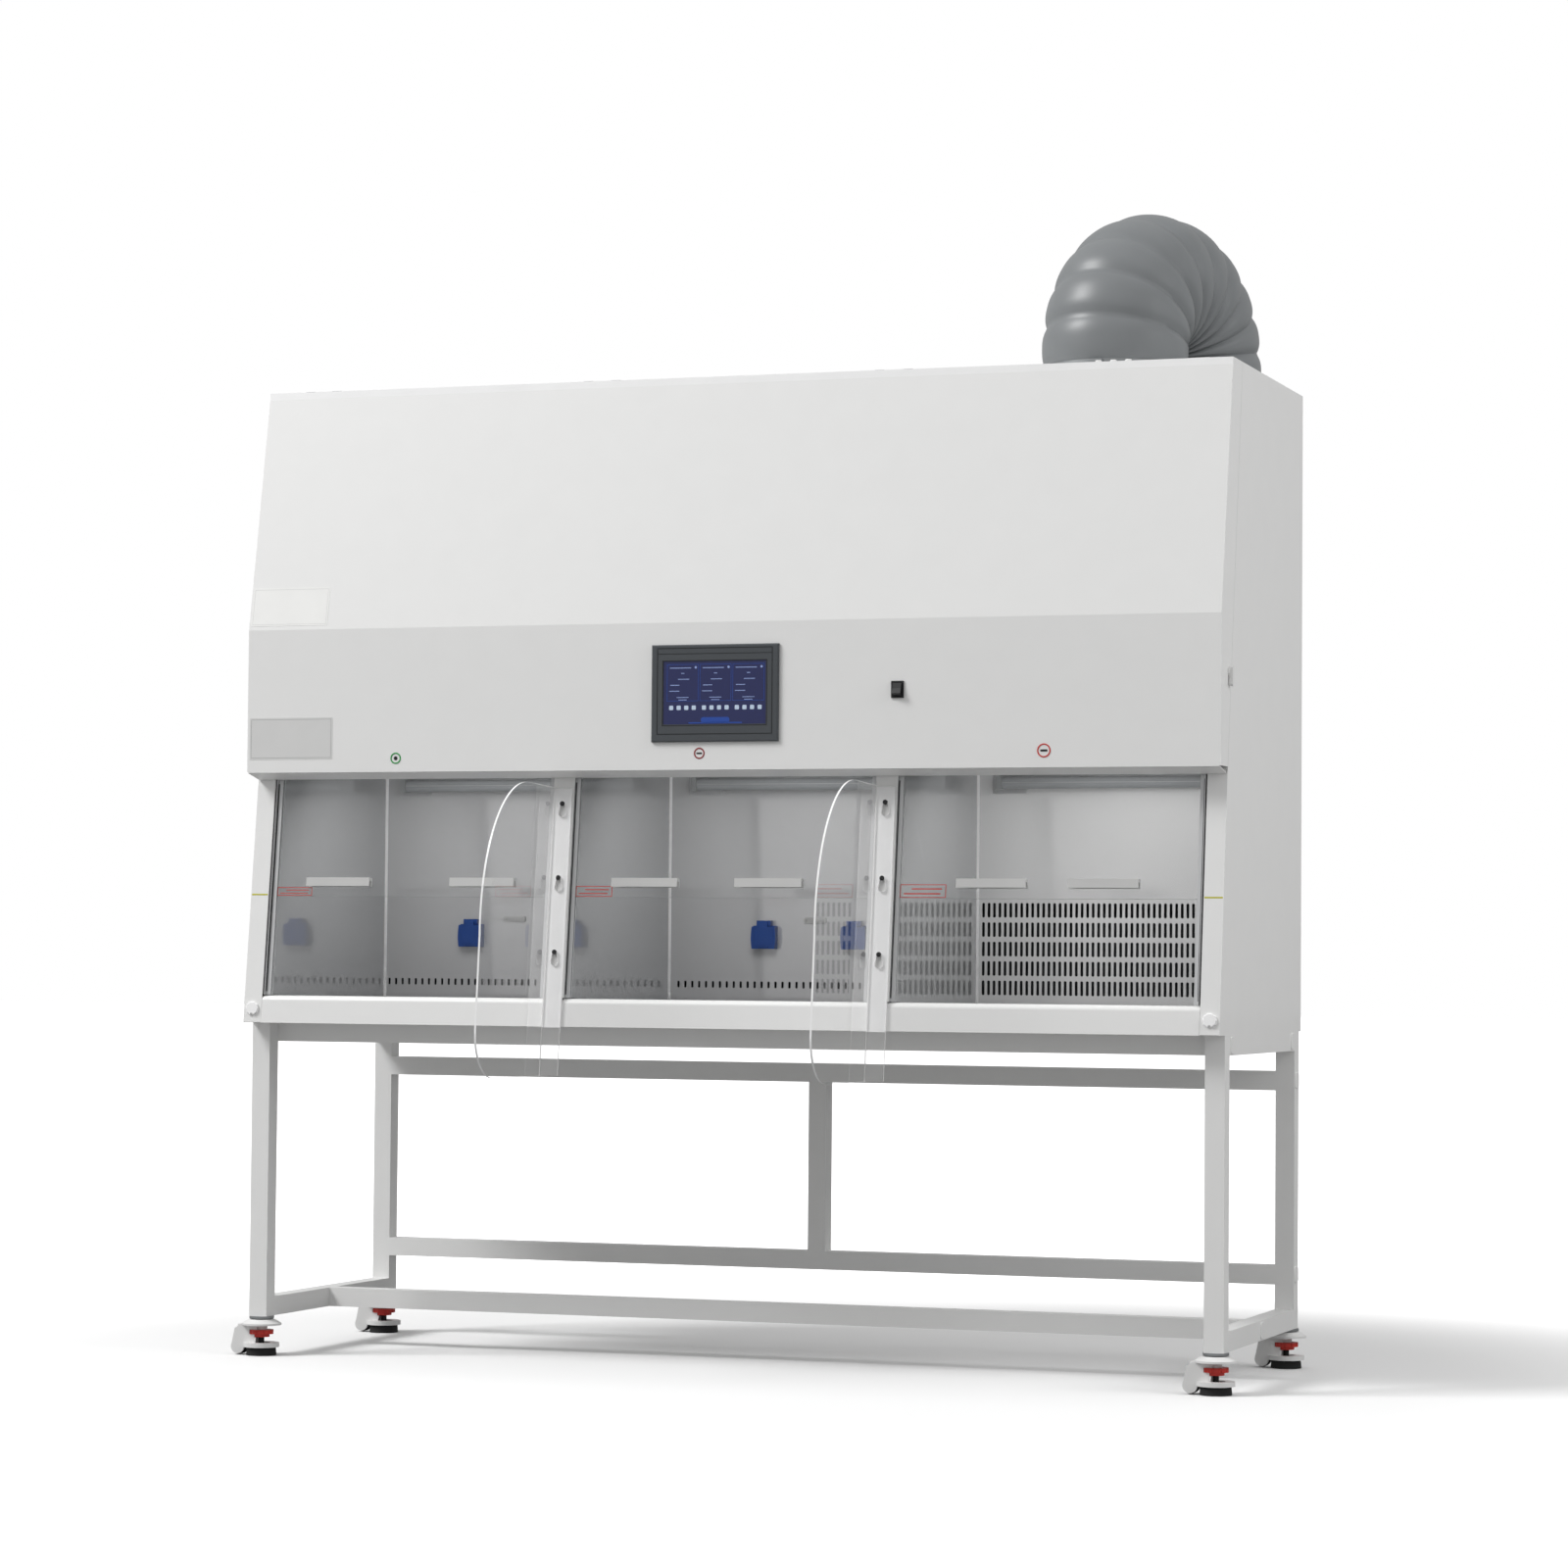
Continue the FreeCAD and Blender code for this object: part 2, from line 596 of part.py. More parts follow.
def hinge_leaves():
    """Leaves screwed to the top panel, each with its pin."""
    half = HINGE_W / 2 + 1
    pieces = []
    for x in HINGE_X:
        pieces.append(hinge_leaf(x, 1, [(0.0, 0.245), (0.755, 1.0)]))
        pieces.append(rod(HINGE_PIN_R, (x - half, HINGE_LINE, HINGE_Z), (x + half, HINGE_LINE, HINGE_Z)))
    return pieces


def screen_bezel():
    """Front frame of the operator panel and its body behind the cover."""
    low = HEADER_Z + SCREEN_UP - SCREEN_H / 2
    half = SCREEN_W / 2
    y0 = HEADER_FRONT - SCREEN_T
    frame = box(-half, half, y0, HEADER_FRONT, low, low + SCREEN_H)
    frame = frame.makeChamfer(2.5, [e for e in frame.Edges if e.CenterOfMass.y < y0 + 0.1])
    edge = SCREEN_BODY_EDGE
    body = box(-half + edge, half - edge, HEADER_FRONT, HEADER_FRONT + SCREEN_BODY_D, low + edge,
               low + SCREEN_H - edge)
    middle = low + SCREEN_H / 2 + PANEL_DROP
    window = box(-GLASS_W / 2, GLASS_W / 2, y0 - 1, y0 + 3, middle - PANEL_H / 2, middle + PANEL_H / 2)
    return [frame.fuse(body).removeSplitter().cut(window)]


def screen_glass():
    low = HEADER_Z + SCREEN_UP - SCREEN_H / 2
    middle = low + SCREEN_H / 2 + PANEL_DROP
    y0 = HEADER_FRONT - SCREEN_T + 1
    half, tall = GLASS_W / 2, PANEL_H / 2
    return [box(-half, half, y0, y0 + 2, middle - tall, middle + tall)]


def switch_frame():
    z = HEADER_Z + SWITCH_UP
    half, tall = SWITCH_W / 2, SWITCH_H / 2
    flange = box(SWITCH_X - half, SWITCH_X + half, HEADER_FRONT - 3, HEADER_FRONT, z - tall, z + tall)
    body = box(SWITCH_X - half + 2, SWITCH_X + half - 2, HEADER_FRONT, HEADER_FRONT + 24, z - tall + 2,
               z + tall - 2)
    half, tall = ROCKER_W / 2 + GAP, ROCKER_H / 2 + 1
    well = box(SWITCH_X - half, SWITCH_X + half, HEADER_FRONT - 4, HEADER_FRONT + 9, z - tall, z + tall)
    pin = rod(ROCKER_PIN_R, (SWITCH_X - half - 1, HEADER_FRONT + 1, z),
              (SWITCH_X + half + 1, HEADER_FRONT + 1, z))
    return [flange.fuse(body).removeSplitter().cut(well).fuse(pin)]


def switch_rocker():
    """Wedge rocker whose lower half stands out, turning on a pin across the well."""
    z = HEADER_Z + SWITCH_UP
    y = HEADER_FRONT
    tall = ROCKER_H / 2
    outline = [(y - 5, z + tall), (y - 8, z + 2), (y - 13, z - tall + 5), (y - 7, z - tall + 1),
               (y + 1, z - tall),
               (y + 5, z), (y + 1, z + tall)]
    x0, x1 = SWITCH_X - ROCKER_W / 2, SWITCH_X + ROCKER_W / 2
    barrel = rod(ROCKER_PIN_R + 3, (x0, y + 1, z), (x1, y + 1, z))
    bore = rod(ROCKER_PIN_R + RUNNING_FIT, (x0 - 1, y + 1, z), (x1 + 1, y + 1, z))
    return [prism_x(outline, x0, x1).fuse(barrel).removeSplitter().cut(bore)]


def side_latch(side):
    """Quarter-turn latch on the side wall of the cover."""
    z = HEADER_Z + LATCH_UP
    x0 = HALF_W + GAP
    rosette = rod(LATCH_R, (x0, LATCH_Y, z), (x0 + 3, LATCH_Y, z))
    grip = obround_x(LATCH_Y, z - LATCH_L / 2 + LATCH_R, LATCH_R * 1.2, LATCH_L, x0 + 2, x0 + LATCH_T)
    latch = rosette.fuse(grip).removeSplitter()
    return [latch if side > 0 else mirror_x(latch)]


# Chambers

def worktops():
    """Dished steel trays, one in each chamber."""
    trays = []
    for x0, x1 in CHAMBERS.values():
        y0 = ARMREST_DEPTH + 1
        tray = box(x0 + 0.5, x1 - 0.5, y0, BACK_WALL_Y - 0.5, WORK_Z - 3, WORK_Z + TRAY_RIM)
        dish = box(x0 + TRAY_EDGE, x1 - TRAY_EDGE, y0 + TRAY_EDGE, BACK_WALL_Y - TRAY_EDGE, WORK_Z,
                   WORK_Z + TRAY_RIM + 1)
        under = box(x0 + 2, x1 - 2, y0 + 1.5, BACK_WALL_Y - 2, WORK_Z - 4, WORK_Z - SHEET)
        trays.append(tray.cut(dish).cut(under))
    return trays


def liner_side_walls():
    """Side walls; their front strips rise behind the header to carry the sash guides."""
    walls = []
    rise = BASE_Z + (ARMREST_H + GUIDE_L + 4) * math.cos(LEAN)
    inset = SHEET + 0.2
    z0 = WORK_Z + TRAY_RIM + 0.5
    outline = [(front_y(BASE_Z + ARMREST_H) + inset, BASE_Z + ARMREST_H + 1.5),
               (ARMREST_DEPTH, BASE_Z + ARMREST_H + 1.5),
               (ARMREST_DEPTH, z0), (BACK_WALL_Y, z0), (BACK_WALL_Y, CEILING_Z), (UNIT_FRONT - 20,
                                                                                  CEILING_Z),
               (UNIT_FRONT - 20, rise), (front_y(rise) + inset, rise)]
    for x0, x1 in CHAMBERS.values():
        walls.append(prism_x(outline, x0 - SHEET, x0))
        walls.append(prism_x(outline, x1, x1 + SHEET))
    return walls


def wall_sheet(name):
    x0, x1 = CHAMBERS[name]
    z0 = WORK_Z + TRAY_RIM + 0.5
    return box(x0 - SHEET, x1 + SHEET, BACK_WALL_Y, BACK_WALL_Y + SHEET, z0, CEILING_Z)


def slotted_back_walls():
    """Back walls of the left and middle chambers, each with one row of return-air slots."""
    walls = []
    for name in ("left", "middle"):
        z = BASE_Z + SLOT_UP + SLOT_H / 2
        cutters = [slot_cutter(x, z, SLOT_W, SLOT_H) for x in slot_places(name, SLOT_PITCH)]
        walls.append(wall_sheet(name).cut(Part.makeCompound(cutters)))
    return walls


def chamber_liners():
    return liner_side_walls() + slotted_back_walls()


def grille_back_wall():
    """Back wall of the right chamber, a full exhaust grille of upright slots."""
    cutters = []
    for row in range(GRILLE_ROWS):
        z = BASE_Z + GRILLE_UP + GRILLE_H / 2 + row * GRILLE_ROW
        cutters += [slot_cutter(x, z, GRILLE_W, GRILLE_H) for x in slot_places("right", GRILLE_PITCH)]
    return [wall_sheet("right").cut(Part.makeCompound(cutters))]


def air_diffusers():
    """Slotted ceiling plates under the filters."""
    plates = []
    for x0, x1 in CHAMBERS.values():
        plate = box(x0 - SHEET, x1 + SHEET, UNIT_FRONT - 18, BACK_WALL_Y + SHEET, CEILING_Z,
                    CEILING_Z + SHEET)
        middle = (x0 + x1) / 2
        for i in range(10):
            x = middle - 225 + i * 50
            plate = plate.cut(box(x - 12, x + 12, UNIT_FRONT + 40, UNIT_BACK - 40, CEILING_Z - 1,
                                  CEILING_Z + 3))
        plates.append(plate)
    return plates


# Sashes and their guides

def sash_guides():
    """Black grooved guides at both edges of every sash."""
    guides = []
    y0 = GLASS_SETBACK + GLASS_T / 2 - GUIDE_T / 2
    s0 = BASE_Z + ARMREST_H / math.cos(LEAN) + 3
    slot_y = GLASS_SETBACK + GLASS_T / 2 - GUIDE_SLOT / 2
    for x0, x1 in CHAMBERS.values():
        for wall, inward in ((x0, 1), (x1, -1)):
            low, high = sorted((wall, wall + inward * GUIDE_W))
            groove = sorted((wall + inward * (GUIDE_W - GUIDE_BITE), wall + inward * (GUIDE_W + 1)))
            guide = box(low, high, y0, y0 + GUIDE_T, s0, s0 + GUIDE_L)
            guide = guide.cut(box(groove[0], groove[1], slot_y, slot_y + GUIDE_SLOT, s0 - 1,
                                  s0 + GUIDE_L + 1))
            guides.append(lean(guide))
    return guides


def sash_glass(name):
    x0, x1 = CHAMBERS[name]
    edge = GUIDE_W - GUIDE_BITE + 1.5
    low = BASE_Z + REST_S
    pane = box(x0 + edge, x1 - edge, GLASS_SETBACK, GLASS_SETBACK + GLASS_T, low, low + GLASS_H)
    return [lean(pane)]


def sash_handles(name):
    """Two moulded finger grips near the bottom edge of a sash."""
    grips = []
    middle = sum(CHAMBERS[name]) / 2
    low = BASE_Z + REST_S + HANDLE_UP
    for offset in HANDLE_SPANS[name]:
        x0 = middle + offset - HANDLE_L / 2
        y1 = GLASS_SETBACK
        base = box(x0, x0 + HANDLE_L, y1 - 4, y1, low, low + HANDLE_H)
        shelf = box(x0, x0 + HANDLE_L, y1 - HANDLE_T, y1, low + HANDLE_H - 6, low + HANDLE_H)
        grip = box(x0, x0 + HANDLE_L, y1 - HANDLE_T, y1 - HANDLE_T + 4, low, low + HANDLE_H)
        grips.append(lean(base.fuse([shelf, grip]).removeSplitter()))
    return grips


# Divider plates

def keyhole(x, z, y0, y1):
    """A teardrop hole: narrow round top, wide round bottom, joined by tangent flanks."""
    low = z - KEY_DROP
    tilt = math.asin((KEY_LARGE_R - KEY_SMALL_R) / KEY_DROP)
    c, s = math.cos(tilt), math.sin(tilt)
    flanks = [(x + KEY_SMALL_R * c, z + KEY_SMALL_R * s), (x - KEY_SMALL_R * c, z + KEY_SMALL_R * s),
              (x - KEY_LARGE_R * c, low + KEY_LARGE_R * s), (x + KEY_LARGE_R * c, low + KEY_LARGE_R * s)]
    a, b, d, e = [Vector(px, y0, pz) for px, pz in flanks]
    edges = [Part.Arc(a, Vector(x, y0, z + KEY_SMALL_R), b).toShape(), Part.makeLine(b, d),
             Part.Arc(d, Vector(x, y0, low - KEY_LARGE_R), e).toShape(), Part.makeLine(e, a)]
    return Part.Face(Part.Wire(edges)).extrude(Vector(0, y1 - y0, 0))


def screw_levels():
    return [BASE_Z + (SCREW_TOP - SCREW_PITCH * i) / math.cos(LEAN) for i in range(3)]


def divider_strip(x):
    """Keyhole strip that hangs on three screws."""
    high = BASE_Z + (DIVIDER_TOP - 2) / math.cos(LEAN)
    strip = box(x - STRIP_W / 2, x + STRIP_W / 2, -GAP - STRIP_T, -GAP, BASE_Z - 2, high)
    for z in screw_levels():
        strip = strip.cut(keyhole(x, z, -GAP - STRIP_T - 1, 1))
    return lean(strip)


def divider_plate(x):
    """Clear bent plate: a flange over the strip and a D-shaped guard towards the user."""
    x0 = x - STRIP_W / 2
    y0 = -GAP - STRIP_T - GAP - DIVIDER_T
    top_s = BASE_Z + DIVIDER_TOP / math.cos(LEAN)
    low_s = BASE_Z - DIVIDER_HANG / math.cos(LEAN)
    flange = box(x0, x + STRIP_W / 2, y0, y0 + DIVIDER_T, low_s, top_s - 2)
    for z in screw_levels():
        flange = flange.cut(keyhole(x, z, y0 - 1, 1))
    flange = lean(flange)
    top_z, low_z = BASE_Z + DIVIDER_TOP, BASE_Z - DIVIDER_HANG
    crest_y, shoulder_z = -DIVIDER_CREST, top_z + 6 - DIVIDER_SHOULDER
    bulge_y = -DIVIDER_REACH + DIVIDER_FLARE
    corner_z = low_z + DIVIDER_CORNER
    half = Part.Ellipse(Vector(0, 0, 0), DIVIDER_SHOULDER, crest_y - bulge_y)
    arc = Part.ArcOfEllipse(half, 0, math.pi / 2).toShape()
    place = FreeCAD.Matrix(0, 0, 1, x0, 0, -1, 0, crest_y, 1, 0, 0, shoulder_z, 0, 0, 0, 1)
    arc = arc.transformGeometry(place)
    crest = Vector(x0, crest_y, top_z + 6)
    waist = Vector(x0, bulge_y, shoulder_z)
    apex = Vector(x0, -DIVIDER_REACH, corner_z)
    turn = DIVIDER_CORNER * math.sqrt(0.5)
    corner_mid = Vector(x0, -DIVIDER_REACH + DIVIDER_CORNER - turn, corner_z - turn)
    corner_end = Vector(x0, -DIVIDER_REACH + DIVIDER_CORNER, low_z)
    heel = Vector(x0, front_y(low_z) + y0, low_z)
    toe = Vector(x0, front_y(top_z) + y0, top_z)
    edges = [Part.makeLine(toe, crest), arc, Part.makeLine(waist, apex),
             Part.Arc(apex, corner_mid, corner_end).toShape(), Part.makeLine(corner_end, heel),
             Part.makeLine(heel, toe)]
    guard = Part.Face(Part.Wire(Part.__sortEdges__(edges))).extrude(Vector(DIVIDER_T, 0, 0))
    return [guard.fuse(flange).removeSplitter()]


def divider_screws():
    """Black button-head screws that carry the keyhole strips."""
    screws = []
    front = -GAP - STRIP_T - GAP - DIVIDER_T - GAP
    for z in screw_levels():
        head = rod(SCREW_HEAD_R, (POST_X, front - SCREW_HEAD_T, z), (POST_X, front, z))
        head = head.makeChamfer(1.2, [e for e in head.Edges if e.CenterOfMass.y < front - SCREW_HEAD_T + 0.1])
        shank = rod(SCREW_R, (POST_X, front, z), (POST_X, 0, z))
        screws += both_sides(lean(head.fuse(shank).removeSplitter()))
    return screws


def divider_mounts():
    """Both keyhole strips with the screws they hang on."""
    return [divider_strip(-POST_X), divider_strip(POST_X)] + divider_screws()


# Sockets and lamps

def socket_places():
    left = sum(CHAMBERS["left"]) / 2
    return {"left_a": left - SOCKET_SPREAD, "left_b": left + SOCKET_SPREAD,
            "middle_a": -SOCKET_SPREAD, "middle_b": SOCKET_SPREAD}


def socket_hinge_y():
    return BACK_WALL_Y - SOCKET_T + SOCKET_LID_T - 1


def socket_hinge_z():
    return BASE_Z + SOCKET_UP + SOCKET_H + 6


def socket_bases():
    """Blue socket bodies with a round well and two hinge ears."""
    bases = []
    z0 = BASE_Z + SOCKET_UP
    front = BACK_WALL_Y - SOCKET_T + SOCKET_LID_T + GAP
    for x in socket_places().values():
        half = SOCKET_W / 2 - 2
        body = box(x - half, x + half, front, BACK_WALL_Y, z0, z0 + SOCKET_H)
        well = rod(SOCKET_BORE_R, (x, front - 1, z0 + SOCKET_H / 2),
                   (x, BACK_WALL_Y - 4, z0 + SOCKET_H / 2))
        ears = []
        reach = SOCKET_HINGE_W / 2
        for e0, e1 in ((-reach, -reach + 6), (reach - 6, reach)):
            ears.append(box(x + e0, x + e1, socket_hinge_y() - 4, BACK_WALL_Y - 4, z0 + SOCKET_H,
                            z0 + SOCKET_H + 11))
        pin = rod(SOCKET_PIN_R, (x - reach + 1, socket_hinge_y(), socket_hinge_z()),
                  (x + reach - 1, socket_hinge_y(), socket_hinge_z()))
        bases.append(body.cut(well).fuse(ears + [pin]).removeSplitter())
    return bases


def socket_lid(x):
    """Sprung lid with bowed sides, turning on the pin between the ears."""
    z0 = BASE_Z + SOCKET_UP
    y0 = BACK_WALL_Y - SOCKET_T
    half = SOCKET_W / 2
    top = z0 + SOCKET_H - 2
    corners = [(x - half + 2, z0), (x + half - 2, z0), (x + half - 2, top), (x - half + 2, top)]
    a, b, c, d = [Vector(px, y0, pz) for px, pz in corners]
    mid = (z0 + top) / 2
    edges = [Part.makeLine(a, b), Part.Arc(b, Vector(x + half, y0, mid), c).toShape(), Part.makeLine(c, d),
             Part.Arc(d, Vector(x - half, y0, mid), a).toShape()]
    cover = Part.Face(Part.Wire(edges)).extrude(Vector(0, SOCKET_LID_T, 0))
    reach = SOCKET_HINGE_W / 2 - 6 - GAP
    y, z = socket_hinge_y(), socket_hinge_z()
    knuckle = rod(5, (x - reach, y, z), (x + reach, y, z))
    arm = box(x - reach, x + reach, y0, y, top - 1, z)
    lid = cover.fuse([knuckle, arm]).removeSplitter()
    return [lid.cut(rod(SOCKET_PIN_R + RUNNING_FIT, (x - reach - 1, y, z), (x + reach + 1, y, z)))]


def lamp_battens():
    """Lamp bodies on the back walls with an end holder at each side."""
    battens = []
    z = BASE_Z + LAMP_UP
    for x0, x1 in CHAMBERS.values():
        x = (x0 + x1) / 2
        half = LAMP_L / 2
        bar = box(x - half, x + half, BACK_WALL_Y - LAMP_T, BACK_WALL_Y, z - 6, z + LAMP_W - 6)
        ends = []
        for e0, e1 in ((-half, -half + LAMP_HOLDER_W), (half - LAMP_HOLDER_W, half)):
            ends.append(box(x + e0, x + e1, BACK_WALL_Y - LAMP_T - 2 * LAMP_TUBE_R - 6,
                            BACK_WALL_Y - LAMP_T,
                            z - LAMP_TUBE_R + 2, z + LAMP_TUBE_R + 4))
        battens.append(bar.fuse(ends).removeSplitter())
    return battens


def lamp_tubes():
    tubes = []
    z = BASE_Z + LAMP_UP + 3
    y = BACK_WALL_Y - LAMP_T - LAMP_TUBE_R - 3
    for x0, x1 in CHAMBERS.values():
        x = (x0 + x1) / 2
        reach = LAMP_L / 2 - LAMP_HOLDER_W
        tubes.append(rod(LAMP_TUBE_R, (x - reach, y, z), (x + reach, y, z)))
    return tubes


def lamps():
    return lamp_battens() + lamp_tubes()


# Air handling

def filter_frames():
    frames = []
    z0 = CEILING_Z + SHEET
    for name in CHAMBERS:
        x0, x1 = unit_span(name)
        frame = box(x0, x1, UNIT_FRONT, UNIT_BACK, z0, z0 + FILTER_H)
        w = FILTER_WALL
        frames.append(frame.cut(box(x0 + w, x1 - w, UNIT_FRONT + w, UNIT_BACK - w, z0 - 1,
                                    z0 + FILTER_H + 1)))
    return frames


def filter_media():
    media = []
    z0 = CEILING_Z + SHEET + 4
    w = FILTER_WALL
    for name in CHAMBERS:
        x0, x1 = unit_span(name)
        media.append(box(x0 + w, x1 - w, UNIT_FRONT + w, UNIT_BACK - w, z0, z0 + FILTER_H - 8))
    return media


def filter_packs():
    return filter_frames() + filter_media()


def plenum_boxes():
    """Sheet boxes above the filters; each has a round fan inlet in its top."""
    boxes = []
    z0 = CEILING_Z + SHEET + FILTER_H
    for name in CHAMBERS:
        x0, x1 = unit_span(name)
        shell = box(x0, x1, UNIT_FRONT, UNIT_BACK, z0, z0 + PLENUM_H)
        t = SHEET
        shell = shell.cut(box(x0 + t, x1 - t, UNIT_FRONT + t, UNIT_BACK - t, z0 - 1, z0 + PLENUM_H - t))
        y = (UNIT_FRONT + UNIT_BACK) / 2
        inlet = rod(INLET_R, (unit_middle(name), y, z0), (unit_middle(name), y, z0 + PLENUM_H + 1))
        boxes.append(shell.cut(inlet))
    return boxes


def fan_top():
    return CEILING_Z + SHEET + FILTER_H + PLENUM_H


def fan_axis(name):
    return unit_middle(name), (UNIT_FRONT + UNIT_BACK) / 2


def fan_motors():
    """External-rotor motors on cross straps under each inlet."""
    motors = []
    low = fan_top() - SHEET - IMPELLER_DROP - IMPELLER_H - MOTOR_H - 2
    for name in CHAMBERS:
        x, y = fan_axis(name)
        can = rod(MOTOR_R, (x, y, low), (x, y, low + MOTOR_H))
        strap = box(x - 25, x + 25, UNIT_FRONT + SHEET, UNIT_BACK - SHEET, low - 4, low)
        pin = rod(MOTOR_PIN_R, (x, y, low + MOTOR_H), (x, y, low + MOTOR_H + IMPELLER_H * 0.6))
        motors.append(can.fuse([strap, pin]).removeSplitter())
    return motors


def fan_decks():
    return plenum_boxes() + fan_motors()


def fan_impeller(name):
    """Backward-curved plug-fan wheel: back plate, blades and inlet shroud."""
    x, y = fan_axis(name)
    high = fan_top() - SHEET - IMPELLER_DROP
    low = high - IMPELLER_H
    plate = rod(IMPELLER_R, (x, y, low), (x, y, low + BLADE_T))
    shroud = rod(IMPELLER_R, (x, y, high - BLADE_T), (x, y, high))
    shroud = shroud.cut(rod(INLET_R - 20, (x, y, high - BLADE_T - 1), (x, y, high + 1)))
    hub = rod(26, (x, y, low), (x, y, low + IMPELLER_H * 0.6))
    blade = box(x + 40, x + IMPELLER_R - 6, y - BLADE_T / 2, y + BLADE_T / 2, low + BLADE_T, high - BLADE_T)
    blade.rotate(Vector(x + 82, y, low), Z_AXIS, -38)
    blades = []
    for i in range(BLADE_COUNT):
        turned = blade.copy()
        turned.rotate(Vector(x, y, low), Z_AXIS, 360 * i / BLADE_COUNT)
        blades.append(turned)
    wheel = plate.fuse([shroud, hub] + blades)
    bore = rod(MOTOR_PIN_R + RUNNING_FIT, (x, y, low - 1), (x, y, low + IMPELLER_H * 0.6 + 1))
    return [wheel.cut(bore)]


# Top fittings and duct

def exhaust_collar():
    """Round spigot with a flat flange, and the worm-drive band round the foot of the duct."""
    tube = rod(COLLAR_R, (DUCT_X, DUCT_Y, TOP_Z), (DUCT_X, DUCT_Y, TOP_Z + COLLAR_H))
    flange = rod(COLLAR_R + COLLAR_FLANGE, (DUCT_X, DUCT_Y, TOP_Z), (DUCT_X, DUCT_Y, TOP_Z + 2))
    bore = rod(COLLAR_R - SHEET, (DUCT_X, DUCT_Y, TOP_Z - 1), (DUCT_X, DUCT_Y, TOP_Z + COLLAR_H + 1))
    z0 = TOP_Z + 7
    outer = COLLAR_R + GAP + CLAMP_T
    band = rod(outer, (DUCT_X, DUCT_Y, z0), (DUCT_X, DUCT_Y, z0 + CLAMP_W))
    housing = box(DUCT_X - 14, DUCT_X + 14, DUCT_Y - outer - 9, DUCT_Y - outer + 1, z0 + 1,
                  z0 + CLAMP_W - 1)
    band = band.fuse(housing).removeSplitter()
    band = band.cut(rod(COLLAR_R + GAP / 2, (DUCT_X, DUCT_Y, z0 - 1), (DUCT_X, DUCT_Y, z0 + CLAMP_W + 1)))
    return [tube.fuse(flange).removeSplitter().cut(bore), band]


def duct_axis():
    """Horizontal line about which the duct folds over, and the way from first to second leg."""
    angle = math.radians(DUCT_TURN)
    way = Vector(math.cos(angle), math.sin(angle), 0)
    centre = Vector(DUCT_X, DUCT_Y, DUCT_FOLD_Z) + way * DUCT_FOLD_R
    return centre, way, Vector(-way.y, way.x, 0)


def exhaust_duct():
    """Flexible corrugated duct: up from the collar, folded over and down to the top panel's rear edge."""
    centre, way, axis = duct_axis()
    start = Vector(DUCT_X, DUCT_Y, DUCT_FOLD_Z)
    step = 180.0 / DUCT_LOBES

    def sector(radius, angle0, sweep):
        disc = Part.Face(Part.Wire(Part.makeCircle(radius, start, Z_AXIS)))
        disc.rotate(centre, axis, angle0)
        return disc.revolve(centre, axis, sweep)

    pieces = []
    for i in range(DUCT_LOBES):
        angle0 = step * i
        pieces.append(sector(DUCT_RIB_R, angle0, DUCT_RIB_ANGLE))
        pieces.append(sector(DUCT_R, angle0 + DUCT_RIB_ANGLE, step - DUCT_RIB_ANGLE))
    end = centre + way * DUCT_FOLD_R
    low = TOP_Z + CLAMP_W + 8
    cuff = Part.makeCylinder(DUCT_R, DUCT_FOLD_Z - low, Vector(start.x, start.y, low), Z_AXIS)
    tail = Part.makeCylinder(DUCT_RIB_R, end.z - TOP_Z - GAP, Vector(end.x, end.y, TOP_Z + GAP), Z_AXIS)
    duct = cuff.fuse(pieces + [tail]).removeSplitter()
    socket = rod(COLLAR_R + GAP, (DUCT_X, DUCT_Y, low - 1), (DUCT_X, DUCT_Y, TOP_Z + COLLAR_H + GAP))
    return [duct.cut(socket)]


def corner_names():
    places = {}
    for row, y in LEG_Y.items():
        places[row + "_left"] = (-LEG_X, y)
        places[row + "_right"] = (LEG_X, y)
    return places


def build():
    """Every node of the workstation by name, each a list of solids."""
    nodes = {
        "stand_legs": stand_legs(), "stand_rails": stand_rails(), "caster_seats": caster_seats(),
        "side_panels": side_panels(), "base_pan": base_pan(), "back_panel": back_panel(),
        "top_panel": top_panel(), "armrest_rail": armrest_rail(), "opening_frame": opening_frame(),
        "front_cover": front_cover(), "hinge_leaves": hinge_leaves(), "screen_bezel": screen_bezel(),
        "screen_glass": screen_glass(), "switch_frame": switch_frame(), "switch_rocker": switch_rocker(),
        "side_latch_left": side_latch(-1), "side_latch_right": side_latch(1),
        "worktops": worktops(), "chamber_liners": chamber_liners(), "grille_back_wall": grille_back_wall(),
        "air_diffusers": air_diffusers(), "sash_guides": sash_guides(), "divider_mounts": divider_mounts(),
        "socket_bases": socket_bases(), "lamps": lamps(), "filter_packs": filter_packs(),
        "fan_decks": fan_decks(), "exhaust_collar": exhaust_collar(), "exhaust_duct": exhaust_duct(),
    }
    for name in CHAMBERS:
        nodes["sash_glass_" + name] = sash_glass(name)
        nodes["sash_handles_" + name] = sash_handles(name)
        nodes["fan_impeller_" + name] = fan_impeller(name)
    for name, x in (("left", -POST_X), ("right", POST_X)):
        nodes["divider_plate_" + name] = divider_plate(x)
    for name, x in socket_places().items():
        nodes["socket_lid_" + name] = socket_lid(x)
    for name, (x, y) in corner_names().items():
        nodes["caster_housing_" + name] = caster_housing(x, y)
        nodes["caster_wheel_" + name] = caster_wheel(x, y)
        nodes["levelling_dial_" + name] = levelling_dial(x, y)
        nodes["foot_pad_" + name] = foot_pad(x, y)
    return nodes


def export(nodes):
    os.makedirs("parts", exist_ok=True)
    for name, solids in nodes.items():
        shape = solids[0].copy() if len(solids) == 1 else Part.makeCompound(solids)
        shape.translate(SHIFT)
        shape.exportStep("parts/" + name + ".step")


NODES = build()
export(NODES)
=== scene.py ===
import math

